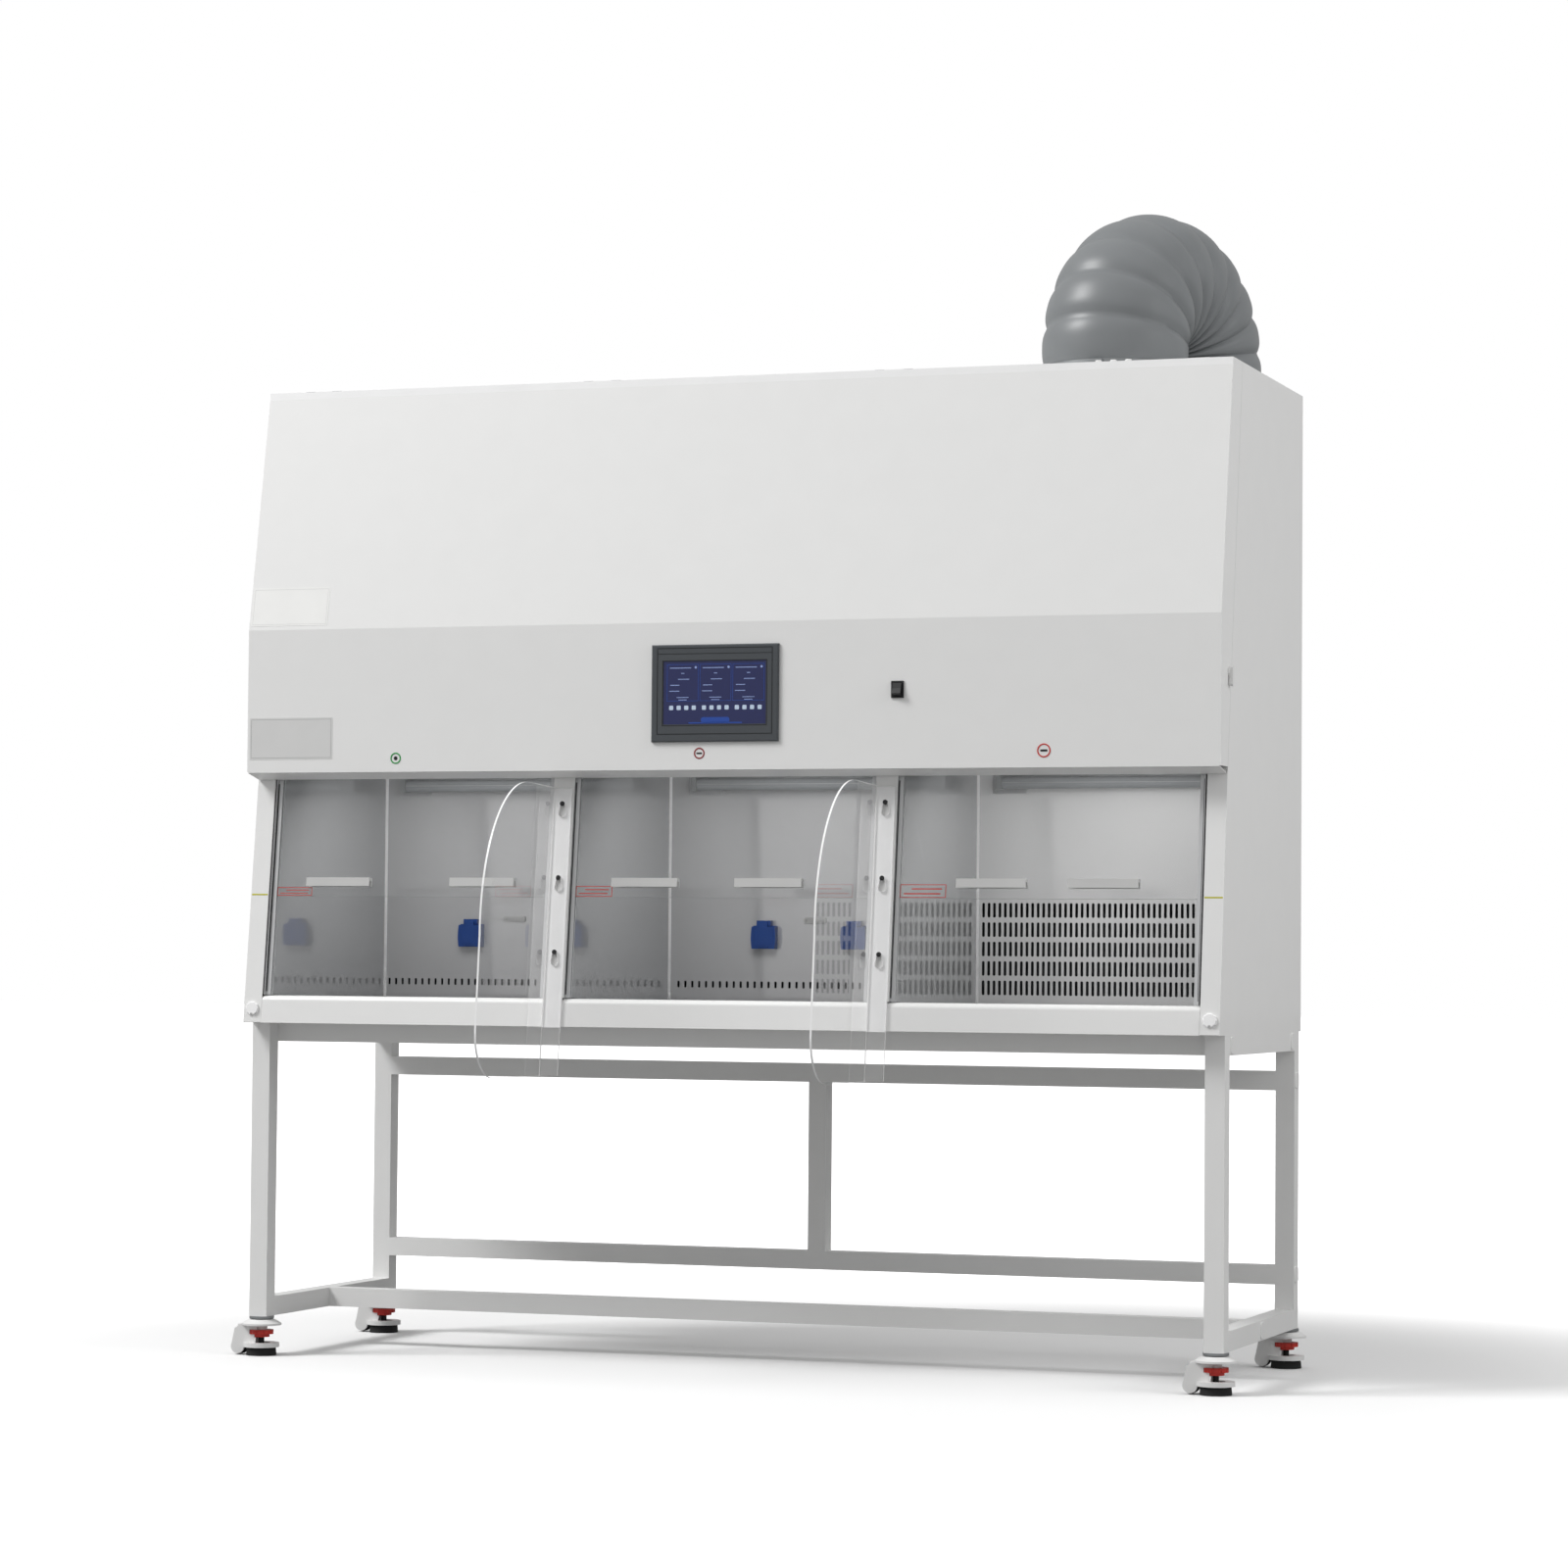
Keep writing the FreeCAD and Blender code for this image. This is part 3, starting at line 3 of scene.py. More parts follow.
import bmesh
import bpy
from mathutils import Matrix, Vector


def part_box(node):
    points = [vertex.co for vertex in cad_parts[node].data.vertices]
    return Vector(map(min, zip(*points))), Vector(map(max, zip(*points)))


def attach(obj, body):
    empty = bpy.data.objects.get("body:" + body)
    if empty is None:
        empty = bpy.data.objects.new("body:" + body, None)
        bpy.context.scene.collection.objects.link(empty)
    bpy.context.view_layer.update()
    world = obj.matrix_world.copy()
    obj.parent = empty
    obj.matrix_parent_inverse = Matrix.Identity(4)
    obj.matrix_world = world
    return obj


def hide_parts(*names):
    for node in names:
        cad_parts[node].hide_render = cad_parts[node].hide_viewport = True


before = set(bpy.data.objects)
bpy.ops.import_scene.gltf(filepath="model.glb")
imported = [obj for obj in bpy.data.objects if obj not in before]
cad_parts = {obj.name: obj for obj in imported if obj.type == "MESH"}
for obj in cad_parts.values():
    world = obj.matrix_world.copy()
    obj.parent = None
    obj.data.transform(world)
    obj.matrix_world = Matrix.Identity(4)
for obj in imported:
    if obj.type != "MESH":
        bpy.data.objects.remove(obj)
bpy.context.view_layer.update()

bl_info = {
    "name": "PCR workstation",
    "version": (1, 0, 0),
    "blender": (4, 5, 0),
    "location": "View3D > Sidebar > Workstation",
    "description": "Dresses the workstation frame with finishes, small fittings, lights and a camera",
    "category": "Object",
}

MM = 0.001

# The middle of the cabinet and its front bottom edge, in the row frame
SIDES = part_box("side_panels")
MIDDLE_X = (SIDES[0][0] + SIDES[1][0]) / 2
FRONT_Y = SIDES[0][1]
BASE_Z = SIDES[0][2] / MM
TOP_Z = SIDES[1][2] / MM
HALF_W = (SIDES[1][0] - SIDES[0][0]) / 2 / MM
LEAN = math.atan2(58, 514)
CREASE_Z = 1525
CHAMBER_X = {"left": -689, "middle": 0, "right": 689}
CHAMBER_HALF = {"left": 316, "middle": 327, "right": 316}
BACK_WALL_Y = 611
HINGE_X = (-963, -321, 321, 963)
HINGE_SCREW_X = [x + dx for x in HINGE_X for dx in (-32, -11, 11, 32)]
STRIP_X = (-1030, 1030)
DIVIDER_EDGE_X = {"left": -366, "right": 334}


def at(x, y, z):
    """A point given in cabinet millimetres, in the row frame."""
    return Vector((MIDDLE_X + x * MM, FRONT_Y + y * MM, z * MM))


class Plane:
    """A flat face of the cabinet: sideways, upwards and outwards directions from an origin."""

    def __init__(self, x, y, z, up, out):
        self.origin = at(x, y, z)
        self.side = Vector(up).cross(Vector(out)).normalized()
        self.up = Vector(up).normalized()
        self.out = Vector(out).normalized()

    def point(self, side, up, out=0.0):
        return self.origin + (self.side * side + self.up * up + self.out * out) * MM

    def axes(self):
        return Matrix((self.side, self.up, self.out)).transposed().to_4x4()

    def matrix(self, side, up, out=0.0):
        return Matrix.Translation(self.point(side, up, out)) @ self.axes()


UPWARDS = (0, 0, 1)
FORWARDS = (0, -1, 0)
BACKWARDS = (0, 1, 0)
HEADER = Plane(0, 3, 0, UPWARDS, FORWARDS)
DISPLAY = Plane(0, -3, 0, UPWARDS, FORWARDS)
BEZEL = Plane(0, -4, 0, UPWARDS, FORWARDS)
SLOPE = Plane(0, 0, BASE_Z, (0, math.sin(LEAN), math.cos(LEAN)), (0, -math.cos(LEAN), math.sin(LEAN)))
UPPER = Plane(0, 3, CREASE_Z, (0, 87, 498), (0, -498, 87))
BACK_WALL = Plane(0, BACK_WALL_Y, 0, UPWARDS, FORWARDS)
LID_FRONT = Plane(0, BACK_WALL_Y - 22, 0, UPWARDS, FORWARDS)
REAR = Plane(0, 730, 0, UPWARDS, BACKWARDS)
TOP = Plane(0, 0, TOP_Z, BACKWARDS, UPWARDS)


def side_plane(sign):
    """The outer face of the left or right side sheet."""
    return Plane(sign * HALF_W, 0, 0, UPWARDS, (sign, 0, 0))


def slope_up(z):
    """How far up the leaning front a height lies."""
    return (z - BASE_Z) / math.cos(LEAN)


# Materials

def linear(code):
    """An sRGB hex code as linear red, green, blue and alpha."""
    values = [int(code[i:i + 2], 16) / 255 for i in (1, 3, 5)]
    return [v / 12.92 if v <= 0.04045 else ((v + 0.055) / 1.055) ** 2.4 for v in values] + [1.0]


WHITE = linear("#ffffff")


def add_node(tree, kind, inputs=None, **settings):
    """Adds a shader node, sets its attributes, then fills or links its inputs."""
    node = tree.nodes.new(kind)
    for name, value in settings.items():
        setattr(node, name, value)
    for name, value in (inputs or {}).items():
        if isinstance(value, bpy.types.NodeSocket):
            tree.links.new(value, node.inputs[name])
        else:
            node.inputs[name].default_value = value
    return node


def new_material(name):
    mat = bpy.data.materials.new(name)
    mat.use_nodes = True
    mat.node_tree.nodes.clear()
    return mat, mat.node_tree


def finish_tree(tree, shader):
    add_node(tree, "ShaderNodeOutputMaterial", {"Surface": shader})


def surface(name, colour, roughness, metallic=0.0, scale=400.0, bump=0.02, spread=0.05, coat=0.0,
            stretch=(1, 1, 1), tint=0.03):
    """
    A principled material with fine noise in its colour, roughness and bump.

    The colour is a hex code or four linear values. The scale counts grains in a metre: 900 is a grain of
    1.1 mm, coarser than a real coat's or mould's 0.1 mm, because one that fine can't show in the render.
    """
    mat, tree = new_material(name)
    coords = add_node(tree, "ShaderNodeTexCoord")
    mapping = add_node(tree, "ShaderNodeMapping", {"Vector": coords.outputs["Object"], "Scale": stretch})
    spot = mapping.outputs[0]
    fine = add_node(tree, "ShaderNodeTexNoise", {"Vector": spot, "Scale": scale, "Detail": 3.0})
    broad = add_node(tree, "ShaderNodeTexNoise", {"Vector": spot, "Scale": scale / 60, "Detail": 2.0})
    base = linear(colour) if isinstance(colour, str) else list(colour)
    dark = [v * (1 - tint) for v in base[:3]] + [1.0]
    ramp = add_node(tree, "ShaderNodeValToRGB", {"Fac": broad.outputs["Fac"]})
    for stop, position, shade in zip(ramp.color_ramp.elements, (0.3, 0.7), (dark, base)):
        stop.position = position
        stop.color = shade
    rough = add_node(tree, "ShaderNodeMapRange", {
        "Value": fine.outputs["Fac"], "To Min": max(roughness - spread, 0.02), "To Max": roughness + spread})
    relief = add_node(tree, "ShaderNodeBump", {
        "Height": fine.outputs["Fac"], "Strength": bump, "Distance": 0.5 * MM})
    shader = add_node(tree, "ShaderNodeBsdfPrincipled", {
        "Base Color": ramp.outputs["Color"], "Roughness": rough.outputs["Result"], "Metallic": metallic,
        "Normal": relief.outputs["Normal"], "Coat Weight": coat})
    finish_tree(tree, shader.outputs[0])
    return mat


def clear_sheet(name, ior, haze, haze_code="#f4f6f6"):
    """Clear sheet that lets light straight through, with a mirroring outer face and a faint smeared haze."""
    mat, tree = new_material(name)
    coords = add_node(tree, "ShaderNodeTexCoord")
    smear = add_node(tree, "ShaderNodeTexNoise", {
        "Vector": coords.outputs["Object"], "Scale": 6.0, "Detail": 3.0})
    amount = add_node(tree, "ShaderNodeMapRange", {
        "Value": smear.outputs["Fac"], "To Min": haze * 0.6, "To Max": haze * 1.4})
    through = add_node(tree, "ShaderNodeBsdfTransparent", {"Color": WHITE})
    film = add_node(tree, "ShaderNodeBsdfDiffuse", {"Color": linear(haze_code)})
    hazy = add_node(tree, "ShaderNodeMixShader", {
        0: amount.outputs[0], 1: through.outputs[0], 2: film.outputs[0]})
    mirror = add_node(tree, "ShaderNodeBsdfGlossy", {"Color": WHITE, "Roughness": 0.02})
    weight = add_node(tree, "ShaderNodeFresnel", {"IOR": ior})
    side = add_node(tree, "ShaderNodeNewGeometry")
    outer = add_node(tree, "ShaderNodeMath", {0: 1.0, 1: side.outputs["Backfacing"]}, operation="SUBTRACT")
    share = add_node(tree, "ShaderNodeMath", {0: weight.outputs[0], 1: outer.outputs[0]},
                     operation="MULTIPLY")
    mix = add_node(tree, "ShaderNodeMixShader", {
        0: share.outputs[0], 1: hazy.outputs[0], 2: mirror.outputs[0]})
    finish_tree(tree, mix.outputs[0])
    return mat


def make_finishes(settings):
    """Every finish of the workstation by name."""
    return {
        # powder-coated sheet and tube: satin white with a faint orange peel
        "enamel": surface("white_enamel", settings.enamel_colour, 0.34, scale=900, bump=0.03, coat=0.1,
                          tint=0.012),
        # the same coat on folded edges, painted brighter: a painted highlight where the folds catch the light
        "rim": surface("rim_painted_highlight", "#fafafa", 0.34, scale=900, bump=0.03),
        # polished stainless sheet: soft wide reflections, drawn along x by the rolling
        "steel": surface("polished_stainless", "#cfcfd0", 0.07, 0.42, scale=260, bump=0.0, spread=0.03,
                         stretch=(0.05, 1, 1)),
        # the side walls: a sharper polish, drawn from front to back
        "side_steel": surface("mirror_stainless", "#bfc0c1", 0.04, 0.45, scale=260, bump=0.0, spread=0.02,
                              stretch=(1, 0.05, 1)),
        # punched stainless grille: brushed a little, so it stays pale
        "grille_steel": surface("grille_stainless", "#ececec", 0.12, 0.35, scale=260, bump=0.0, spread=0.04,
                                stretch=(0.05, 1, 1)),
        # brushed stainless tray: fine lines blur what it reflects
        "tray": surface("brushed_stainless_tray", "#d0d1d2", 0.3, 0.6, scale=500, bump=0.01, spread=0.06,
                        stretch=(0.04, 1, 1)),
        # coved beads in the corners, pale and smooth: their pale colour is a painted highlight along the
        # bends
        "corner": surface("corner_painted_highlight", "#f4f4f4", 0.3, scale=600, bump=0.02),
        # anodised aluminium guide: dull silver
        "guide": surface("guide_aluminium", "#d6d7d8", 0.35, 0.25, scale=700, spread=0.05,
                         stretch=(1, 0.1, 0.1)),
        # galvanised sheet of the lamp batten: flat grey
        "lamp_body": surface("lamp_batten_steel", "#9d9fa0", 0.35, 0.4, scale=600, spread=0.05),
        # zinc-plated steel: dull metal with rougher blotches
        "zinc": surface("zinc_plate", "#b4b7b9", 0.36, 1.0, scale=250, spread=0.08),
        # powder-coated strip in front of the posts: white and smoother than the sheets, painted whiter still
        # as the reflection of the clear flange in front of it
        "strip": surface("strip_enamel_and_painted_reflection", "#ffffff", 0.32, scale=900, bump=0.02, coat=0.1),
        # moulded nylon: near black with broad soft highlights
        "black": surface("black_nylon", "#17181a", 0.5, scale=1200, bump=0.06),
        # moulded ABS: off-white, a little less glossy than the coat
        "white_plastic": surface("white_plastic", "#ededec", 0.38, scale=1100, bump=0.03),
        # moulded ABS of the small plates: matt grey
        "grey_plastic": surface("grey_plastic", "#a9a9a8", 0.45, scale=1100, bump=0.05),
        # moulded ABS of the finger grips: pale grey
        "handle": surface("handle_plastic", "#cbcbca", 0.4, scale=1100, bump=0.04),
        # inner face of the rear cover: dark and matt, painted shade seen through the slots of the back walls
        "slot_painted_shade": surface("plenum_painted_shade", "#414446", 0.7, scale=800, bump=0.05),
        # fine-textured ABS bezel: charcoal with little sheen
        "bezel": surface("bezel_plastic", "#4b4f53", 0.42, scale=1300, bump=0.05),
        # glass over the display: deep blue with sharp reflections
        "screen": surface("display_glass", "#232a5c", 0.12, scale=200, bump=0.0, spread=0.02, coat=0.4),
        # glossy moulded socket: deep even blue
        "blue": surface("socket_blue", settings.socket_colour, 0.35, scale=1100, bump=0.03, coat=0.1),
        # moulded nylon dial: satin red
        "red": surface("dial_red", "#c8352b", 0.4, scale=1100, bump=0.04),
        # rubber pad: black and dull with a rough skin
        "rubber": surface("pad_rubber", "#1e1e1e", 0.75, scale=1500, bump=0.12),
        # coated fabric hose: mid grey with a satin sheen on its lobes
        "duct": surface("duct_fabric", settings.duct_colour, 0.4, scale=700, bump=0.04, spread=0.06,
                        tint=0.05),
        # glass-fibre paper: cream and matt
        "paper": surface("filter_paper", "#e8e6de", 0.9, scale=900, bump=0.2),
        # turned aluminium of the fan wheel: bright metal
        "wheel_metal": surface("fan_aluminium", "#c0c2c4", 0.3, 1.0, scale=300),
        # unlit lamp tube: grey glass with a clear glaze
        "tube": surface("lamp_glass", "#8d9092", 0.15, scale=300, bump=0.0, coat=0.5),
        # printing ink and blank label film: flat and matt
        "yellow": surface("yellow_mark", "#c2be1c", 0.5, scale=900),
        "label": surface("blank_label", "#f4f4f2", 0.5, scale=900),
        # the same grey also serves as painted shade in the keyholes of the strips
        "grey_label_and_keyhole_shade": surface("grey_label_and_keyhole_shade", "#dcdcdb", 0.5, scale=900),
        "green": surface("ring_green", "#2c9a4a", 0.4, scale=900, bump=0.02),
        "dark_red": surface("ring_dark_red", "#8e1f22", 0.4, scale=900, bump=0.02),
        # float glass: clear with a weak mirror image
        "glass": clear_sheet("sash_glass", 1.4, 0.02),
        # bent acrylic: its fin mirrors strongly at a glancing view, its flange is faintly milky
        "acrylic": clear_sheet("clear_acrylic", 1.95, 0.02),
        "acrylic_flange": clear_sheet("clear_acrylic_flange", 1.3, 0.04, "#ffffff"),
        # sawn edges, where the light gathers: white on acrylic, pale green on glass
        "acrylic_edge": surface("acrylic_edge", "#ffffff", 0.25, scale=500, bump=0.01, coat=0.3),
        "glass_edge": surface("glass_edge", "#b4c2bd", 0.2, scale=500, bump=0.01, coat=0.3),
        # content of the display: flat pale and mid blues
        "display_line": surface("display_line", "#9fb2e6", 0.3, scale=900, bump=0.0),
        "display_panel": surface("display_panel", "#2a4fa8", 0.3, scale=900, bump=0.0),
        "display_icon": surface("display_icon", "#cfe0f6", 0.3, scale=900, bump=0.0),
        # zinc-plated screw heads: bright with a soft edge
        "screw": surface("zinc_screw", "#c9cbcc", 0.3, 0.9, scale=500, spread=0.08),
    }


FINISHES = {}
NODE_FINISHES = {
    "enamel": ["stand_legs", "stand_rails", "side_panels", "base_pan", "back_panel", "top_panel",
               "armrest_rail", "opening_frame", "front_cover"],
    "steel": ["chamber_liners", "air_diffusers"],
    "grille_steel": ["grille_back_wall"],
    "tray": ["worktops"],
    "zinc": ["caster_seats", "hinge_leaves", "fan_decks", "exhaust_collar"],
    "strip": ["divider_mounts"],
    "lamp_body": ["lamps"],
    "white_plastic": ["side_latch_left", "side_latch_right"],
    "black": ["switch_frame", "switch_rocker"],
    "guide": ["sash_guides"],
    "bezel": ["screen_bezel"],
    "screen": ["screen_glass"],
    "blue": ["socket_bases"],
    "paper": ["filter_packs"],
    "duct": ["exhaust_duct"],
}
NODE_PREFIXES = {
    "sash_glass_": "glass", "sash_handles_": "handle", "fan_impeller_": "wheel_metal",
    "divider_plate_": "acrylic", "socket_lid_": "blue", "caster_housing_": "white_plastic",
    "caster_wheel_": "black", "levelling_dial_": "red", "foot_pad_": "rubber",
}


def finish_of(node):
    """The finish of a frame node, by its full name or by how its name starts."""
    for finish, nodes in NODE_FINISHES.items():
        if node in nodes:
            return finish
    for prefix, finish in NODE_PREFIXES.items():
        if node.startswith(prefix):
            return finish
    raise KeyError(node)


def paint(node, finishes, choose):
    """Gives a frame node its finishes: choose maps a face's centre and normal to a place in the list."""
    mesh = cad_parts[node].data
    mesh.materials.clear()
    for finish in finishes:
        mesh.materials.append(FINISHES[finish])
    for face in mesh.polygons:
        face.material_index = choose(face.center, face.normal)


def divider_slot(centre, normal, edge_x):
    """Fin 0, edges 1 and flange 2 of a divider plate, whose fin stands out of the front at edge_x."""
    if centre.x < edge_x + 0.1 * MM and centre.y < FRONT_Y - 6 * MM:
        return int(abs(normal.x) < 0.5)
    return 1 if abs(normal.x) > 0.5 or abs(normal.dot(SLOPE.up)) > 0.5 else 2


# Mesh building

def add_outline(bm, points, matrix, depth, bevel):
    """A closed outline in a plane, pulled out to a plate with a bevelled front edge."""
    low = [bm.verts.new(matrix @ Vector((x * MM, y * MM, 0))) for x, y in points]
    high = [bm.verts.new(matrix @ Vector((x * MM, y * MM, (depth - bevel) * MM))) for x, y in points]
    middle = Vector((sum(p[0] for p in points), sum(p[1] for p in points))) / len(points)
    inset = []
    for x, y in points:
        way = Vector((x, y)) - middle
        corner = middle + way * max(1 - bevel / max(way.length, 0.01), 0.1)
        inset.append(bm.verts.new(matrix @ Vector((corner.x * MM, corner.y * MM, depth * MM))))
    count = len(points)
    for i in range(count):
        j = (i + 1) % count
        bm.faces.new((low[i], low[j], high[j], high[i]))
        bm.faces.new((high[i], high[j], inset[j], inset[i]))
    bm.faces.new(inset)
    bm.faces.new(low[::-1])


def rounded(width, height, radius, steps=6):
    """A rectangle with rounded corners about the middle, counter-clockwise."""
    points = []
    for corner in range(4):
        sx = (1, -1, -1, 1)[corner]
        sy = (1, 1, -1, -1)[corner]
        cx, cy = sx * (width / 2 - radius), sy * (height / 2 - radius)
        for i in range(steps + 1):
            a = math.pi / 2 * (corner + i / steps)
            points.append((cx + radius * math.cos(a), cy + radius * math.sin(a)))
    return points


def add_plate(bm, matrix, width, height, depth, radius, bevel):
    """A plate with rounded corners and a bevelled front edge."""
    add_outline(bm, rounded(width, height, radius), matrix, depth, bevel)


def add_frame(bm, matrix, width, height, line, depth):
    """Four thin bars round a rectangle."""
    for dx, dy, w, h in ((0, (height - line) / 2, width, line), (0, (line - height) / 2, width, line),
                         ((width - line) / 2, 0, line, height - 2 * line),
                         ((line - width) / 2, 0, line, height - 2 * line)):
        add_plate(bm, matrix @ Matrix.Translation((dx * MM, dy * MM, 0)), w, h, depth, line * 0.1, line * 0.1)


def add_screw(bm, matrix, radius, height):
    """A domed screw head with a recess."""
    profile = [(1, 0), (1, 0.35), (0.8, 0.85), (0.45, 1), (0.4, 0.45), (0, 0.45)]
    add_lathe(bm, matrix, [(radius * across, height * up) for across, up in profile], 20)


def add_lathe(bm, matrix, profile, segments=32, capped=True):
    """A profile of (radius, height) points turned about the plane's outward axis."""
    rings = []
    for radius, height in profile:
        if radius < 1e-6:
            rings.append([bm.verts.new(matrix @ Vector((0, 0, height * MM)))])
            continue
        ring = []
        for i in range(segments):
            a = 2 * math.pi * i / segments
            ring.append(bm.verts.new(matrix @ Vector((radius * MM * math.cos(a), radius * MM * math.sin(a),
                                                      height * MM))))
        rings.append(ring)
    for low, high in zip(rings, rings[1:]):
        for i in range(segments):
            j = (i + 1) % segments
            if len(low) == 1:
                bm.faces.new((low[0], high[j], high[i]))
            elif len(high) == 1:
                bm.faces.new((low[i], low[j], high[0]))
            else:
                bm.faces.new((low[i], low[j], high[j], high[i]))
    for ring, turn in ((rings[0], -1), (rings[-1], 1)):
        if capped and len(ring) > 2:
            bm.faces.new(ring[::turn])


def build_mesh(name, build):
    """Runs a builder on an empty bmesh and gives the mesh."""
    bm = bmesh.new()
    build(bm)
    bmesh.ops.recalc_face_normals(bm, faces=bm.faces)
    mesh = bpy.data.meshes.new(name)
    bm.to_mesh(mesh)
    bm.free()
    return mesh


def add_object(name, data):
    """A new object in the scene."""
    obj = bpy.data.objects.new(name, data)
    bpy.context.scene.collection.objects.link(obj)
    return obj


def make_piece(name, build, finish, body, smooth=None):
    """A piece that rides on a body, shaded smooth below an angle in degrees where one is given."""
    mesh = build_mesh(name, build)
    mesh.materials.append(FINISHES[finish])
    obj = add_object(name, mesh)
    if smooth:
        mesh.shade_smooth()
        mesh.set_sharp_from_angle(angle=math.radians(smooth))
    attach(obj, body)
    return obj


def repeat(name, build, points, finish, body):
    """Geometry Nodes copies of one small part at every point."""
    source = add_object(name + "_source", build_mesh(name + "_source", build))
    holder_mesh = bpy.data.meshes.new(name + "_points")
    holder_mesh.from_pydata([tuple(p) for p in points], [], [])
    holder = add_object(name + "_points", holder_mesh)
    group = bpy.data.node_groups.new(name + "_repeat", "GeometryNodeTree")
    group.interface.new_socket("Geometry", in_out="INPUT", socket_type="NodeSocketGeometry")
    part = group.interface.new_socket("Part", in_out="INPUT", socket_type="NodeSocketObject")
    group.interface.new_socket("Geometry", in_out="OUTPUT", socket_type="NodeSocketGeometry")
    entry = add_node(group, "NodeGroupInput")
    info = add_node(group, "GeometryNodeObjectInfo", {"Object": entry.outputs["Part"]})
    copies = add_node(group, "GeometryNodeInstanceOnPoints", {
        "Points": entry.outputs["Geometry"], "Instance": info.outputs["Geometry"]})
    real = add_node(group, "GeometryNodeRealizeInstances", {"Geometry": copies.outputs["Instances"]})
    coloured = add_node(group, "GeometryNodeSetMaterial", {
        "Geometry": real.outputs["Geometry"], "Material": FINISHES[finish]})
    add_node(group, "NodeGroupOutput", {"Geometry": coloured.outputs["Geometry"]})
    modifier = holder.modifiers.new("repeat", "NODES")
    modifier.node_group = group
    modifier[part.identifier] = source
    bpy.context.view_layer.update()
    mesh = bpy.data.meshes.new_from_object(holder.evaluated_get(bpy.context.evaluated_depsgraph_get()))
    mesh.name = name
    holder.modifiers.clear()
    bpy.data.objects.remove(source)
    bpy.data.objects.remove(holder)
    obj = add_object(name, mesh)
    if not mesh.materials:
        mesh.materials.append(FINISHES[finish])
    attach(obj, body)


class WorkstationSettings(bpy.types.PropertyGroup):
    """Sizes, colours and light levels that a user may want to change"""

    enamel_colour: bpy.props.FloatVectorProperty(
        name="Enamel", description="Colour of the powder coat", default=linear("#f1f1f0"), size=4,
        min=0, max=1, subtype="COLOR")
    socket_colour: bpy.props.FloatVectorProperty(
        name="Sockets", description="Colour of the sockets and their lids", default=linear("#1f4489"), size=4,
        min=0, max=1, subtype="COLOR")
    duct_colour: bpy.props.FloatVectorProperty(
        name="Duct", description="Colour of the exhaust duct", default=linear("#808385"), size=4,
        min=0, max=1, subtype="COLOR")
    lobe_count: bpy.props.IntProperty(
        name="Duct lobes", description="Lobes round the bend of the duct", default=9)
    lobe_depth: bpy.props.FloatProperty(
        name="Lobe depth", description="Depth of the folds between two lobes", default=0.009, unit="LENGTH")
    key_power: bpy.props.FloatProperty(
        name="Key light", description="Power of the large front light in watts", default=1120.0)
    chamber_power: bpy.props.FloatProperty(
        name="Chamber light", description="Power of each soft chamber light in watts", default=1.3)
    horizon: bpy.props.FloatProperty(
        name="Horizon light", description="Studio light at eye level", default=0.45)
    zenith: bpy.props.FloatProperty(
        name="Overhead light", description="Studio light from straight above", default=0.5)


class WORKSTATION_OT_finishes(bpy.types.Operator):
    """Give every frame node its finish"""

    bl_idname = "workstation.finishes"
    bl_label = "Finishes"

    def execute(self, context):
        FINISHES.update(make_finishes(context.scene.workstation))
        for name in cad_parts:
            paint(name, [finish_of(name)], lambda c, n: 0)
        for name, x in DIVIDER_EDGE_X.items():
            paint("divider_plate_" + name, ["acrylic", "acrylic_edge", "acrylic_flange"],
                  lambda c, n: divider_slot(c, n, MIDDLE_X + x * MM))
        for name in CHAMBER_X:
            paint("sash_glass_" + name, ["glass", "glass_edge"],
                  lambda c, n: int(abs(n.dot(SLOPE.out)) < 0.5))
        # the inward faces of the back panel take the dark coat: painted shade behind the slots
        paint("back_panel", ["enamel", "slot_painted_shade"], lambda c, n: int(n.y < -0.5))
        front = SLOPE.origin.dot(SLOPE.out)
        # the strips take the whiter coat that carries the painted reflection; the screws are black
        paint("divider_mounts", ["strip", "black"], lambda c, n: int(c.dot(SLOPE.out) - front > 2.5 * MM))
        tube_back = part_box("lamps")[0][1] + 30 * MM
        paint("lamps", ["lamp_body", "tube"],
              lambda c, n: int(c.y < tube_back and abs(n.x) < 0.5 and abs(n.y * n.z) > 1e-3))
        paint("chamber_liners", ["steel", "side_steel"], lambda c, n: int(abs(n.x) > 0.5))
        # the front face of the cover's top fold takes the brighter coat: a painted highlight
        paint("front_cover", ["enamel", "rim"], lambda c, n: int(c.z > (TOP_Z - 15) * MM and n.y < -0.9))
        return {"FINISHED"}


# Exhaust duct

DUCT_R = 149.8
BEND_START = Vector((747, 324, 2090))
BEND_R = 152
BEND_HEADING = math.radians(74)
FIRST_FOLD = 0.4
STRAIGHT_STEPS = 20
LOBE_STEPS = 12
DUCT_SEGMENTS = 96


def duct_radius(count, depth):
    """Radius in millimetres at a count of lobes along the duct, full on a lobe and drawn in at a fold."""
    return DUCT_R - depth / MM * (1 - abs(math.sin(math.pi * (count + FIRST_FOLD)))) ** 1.6


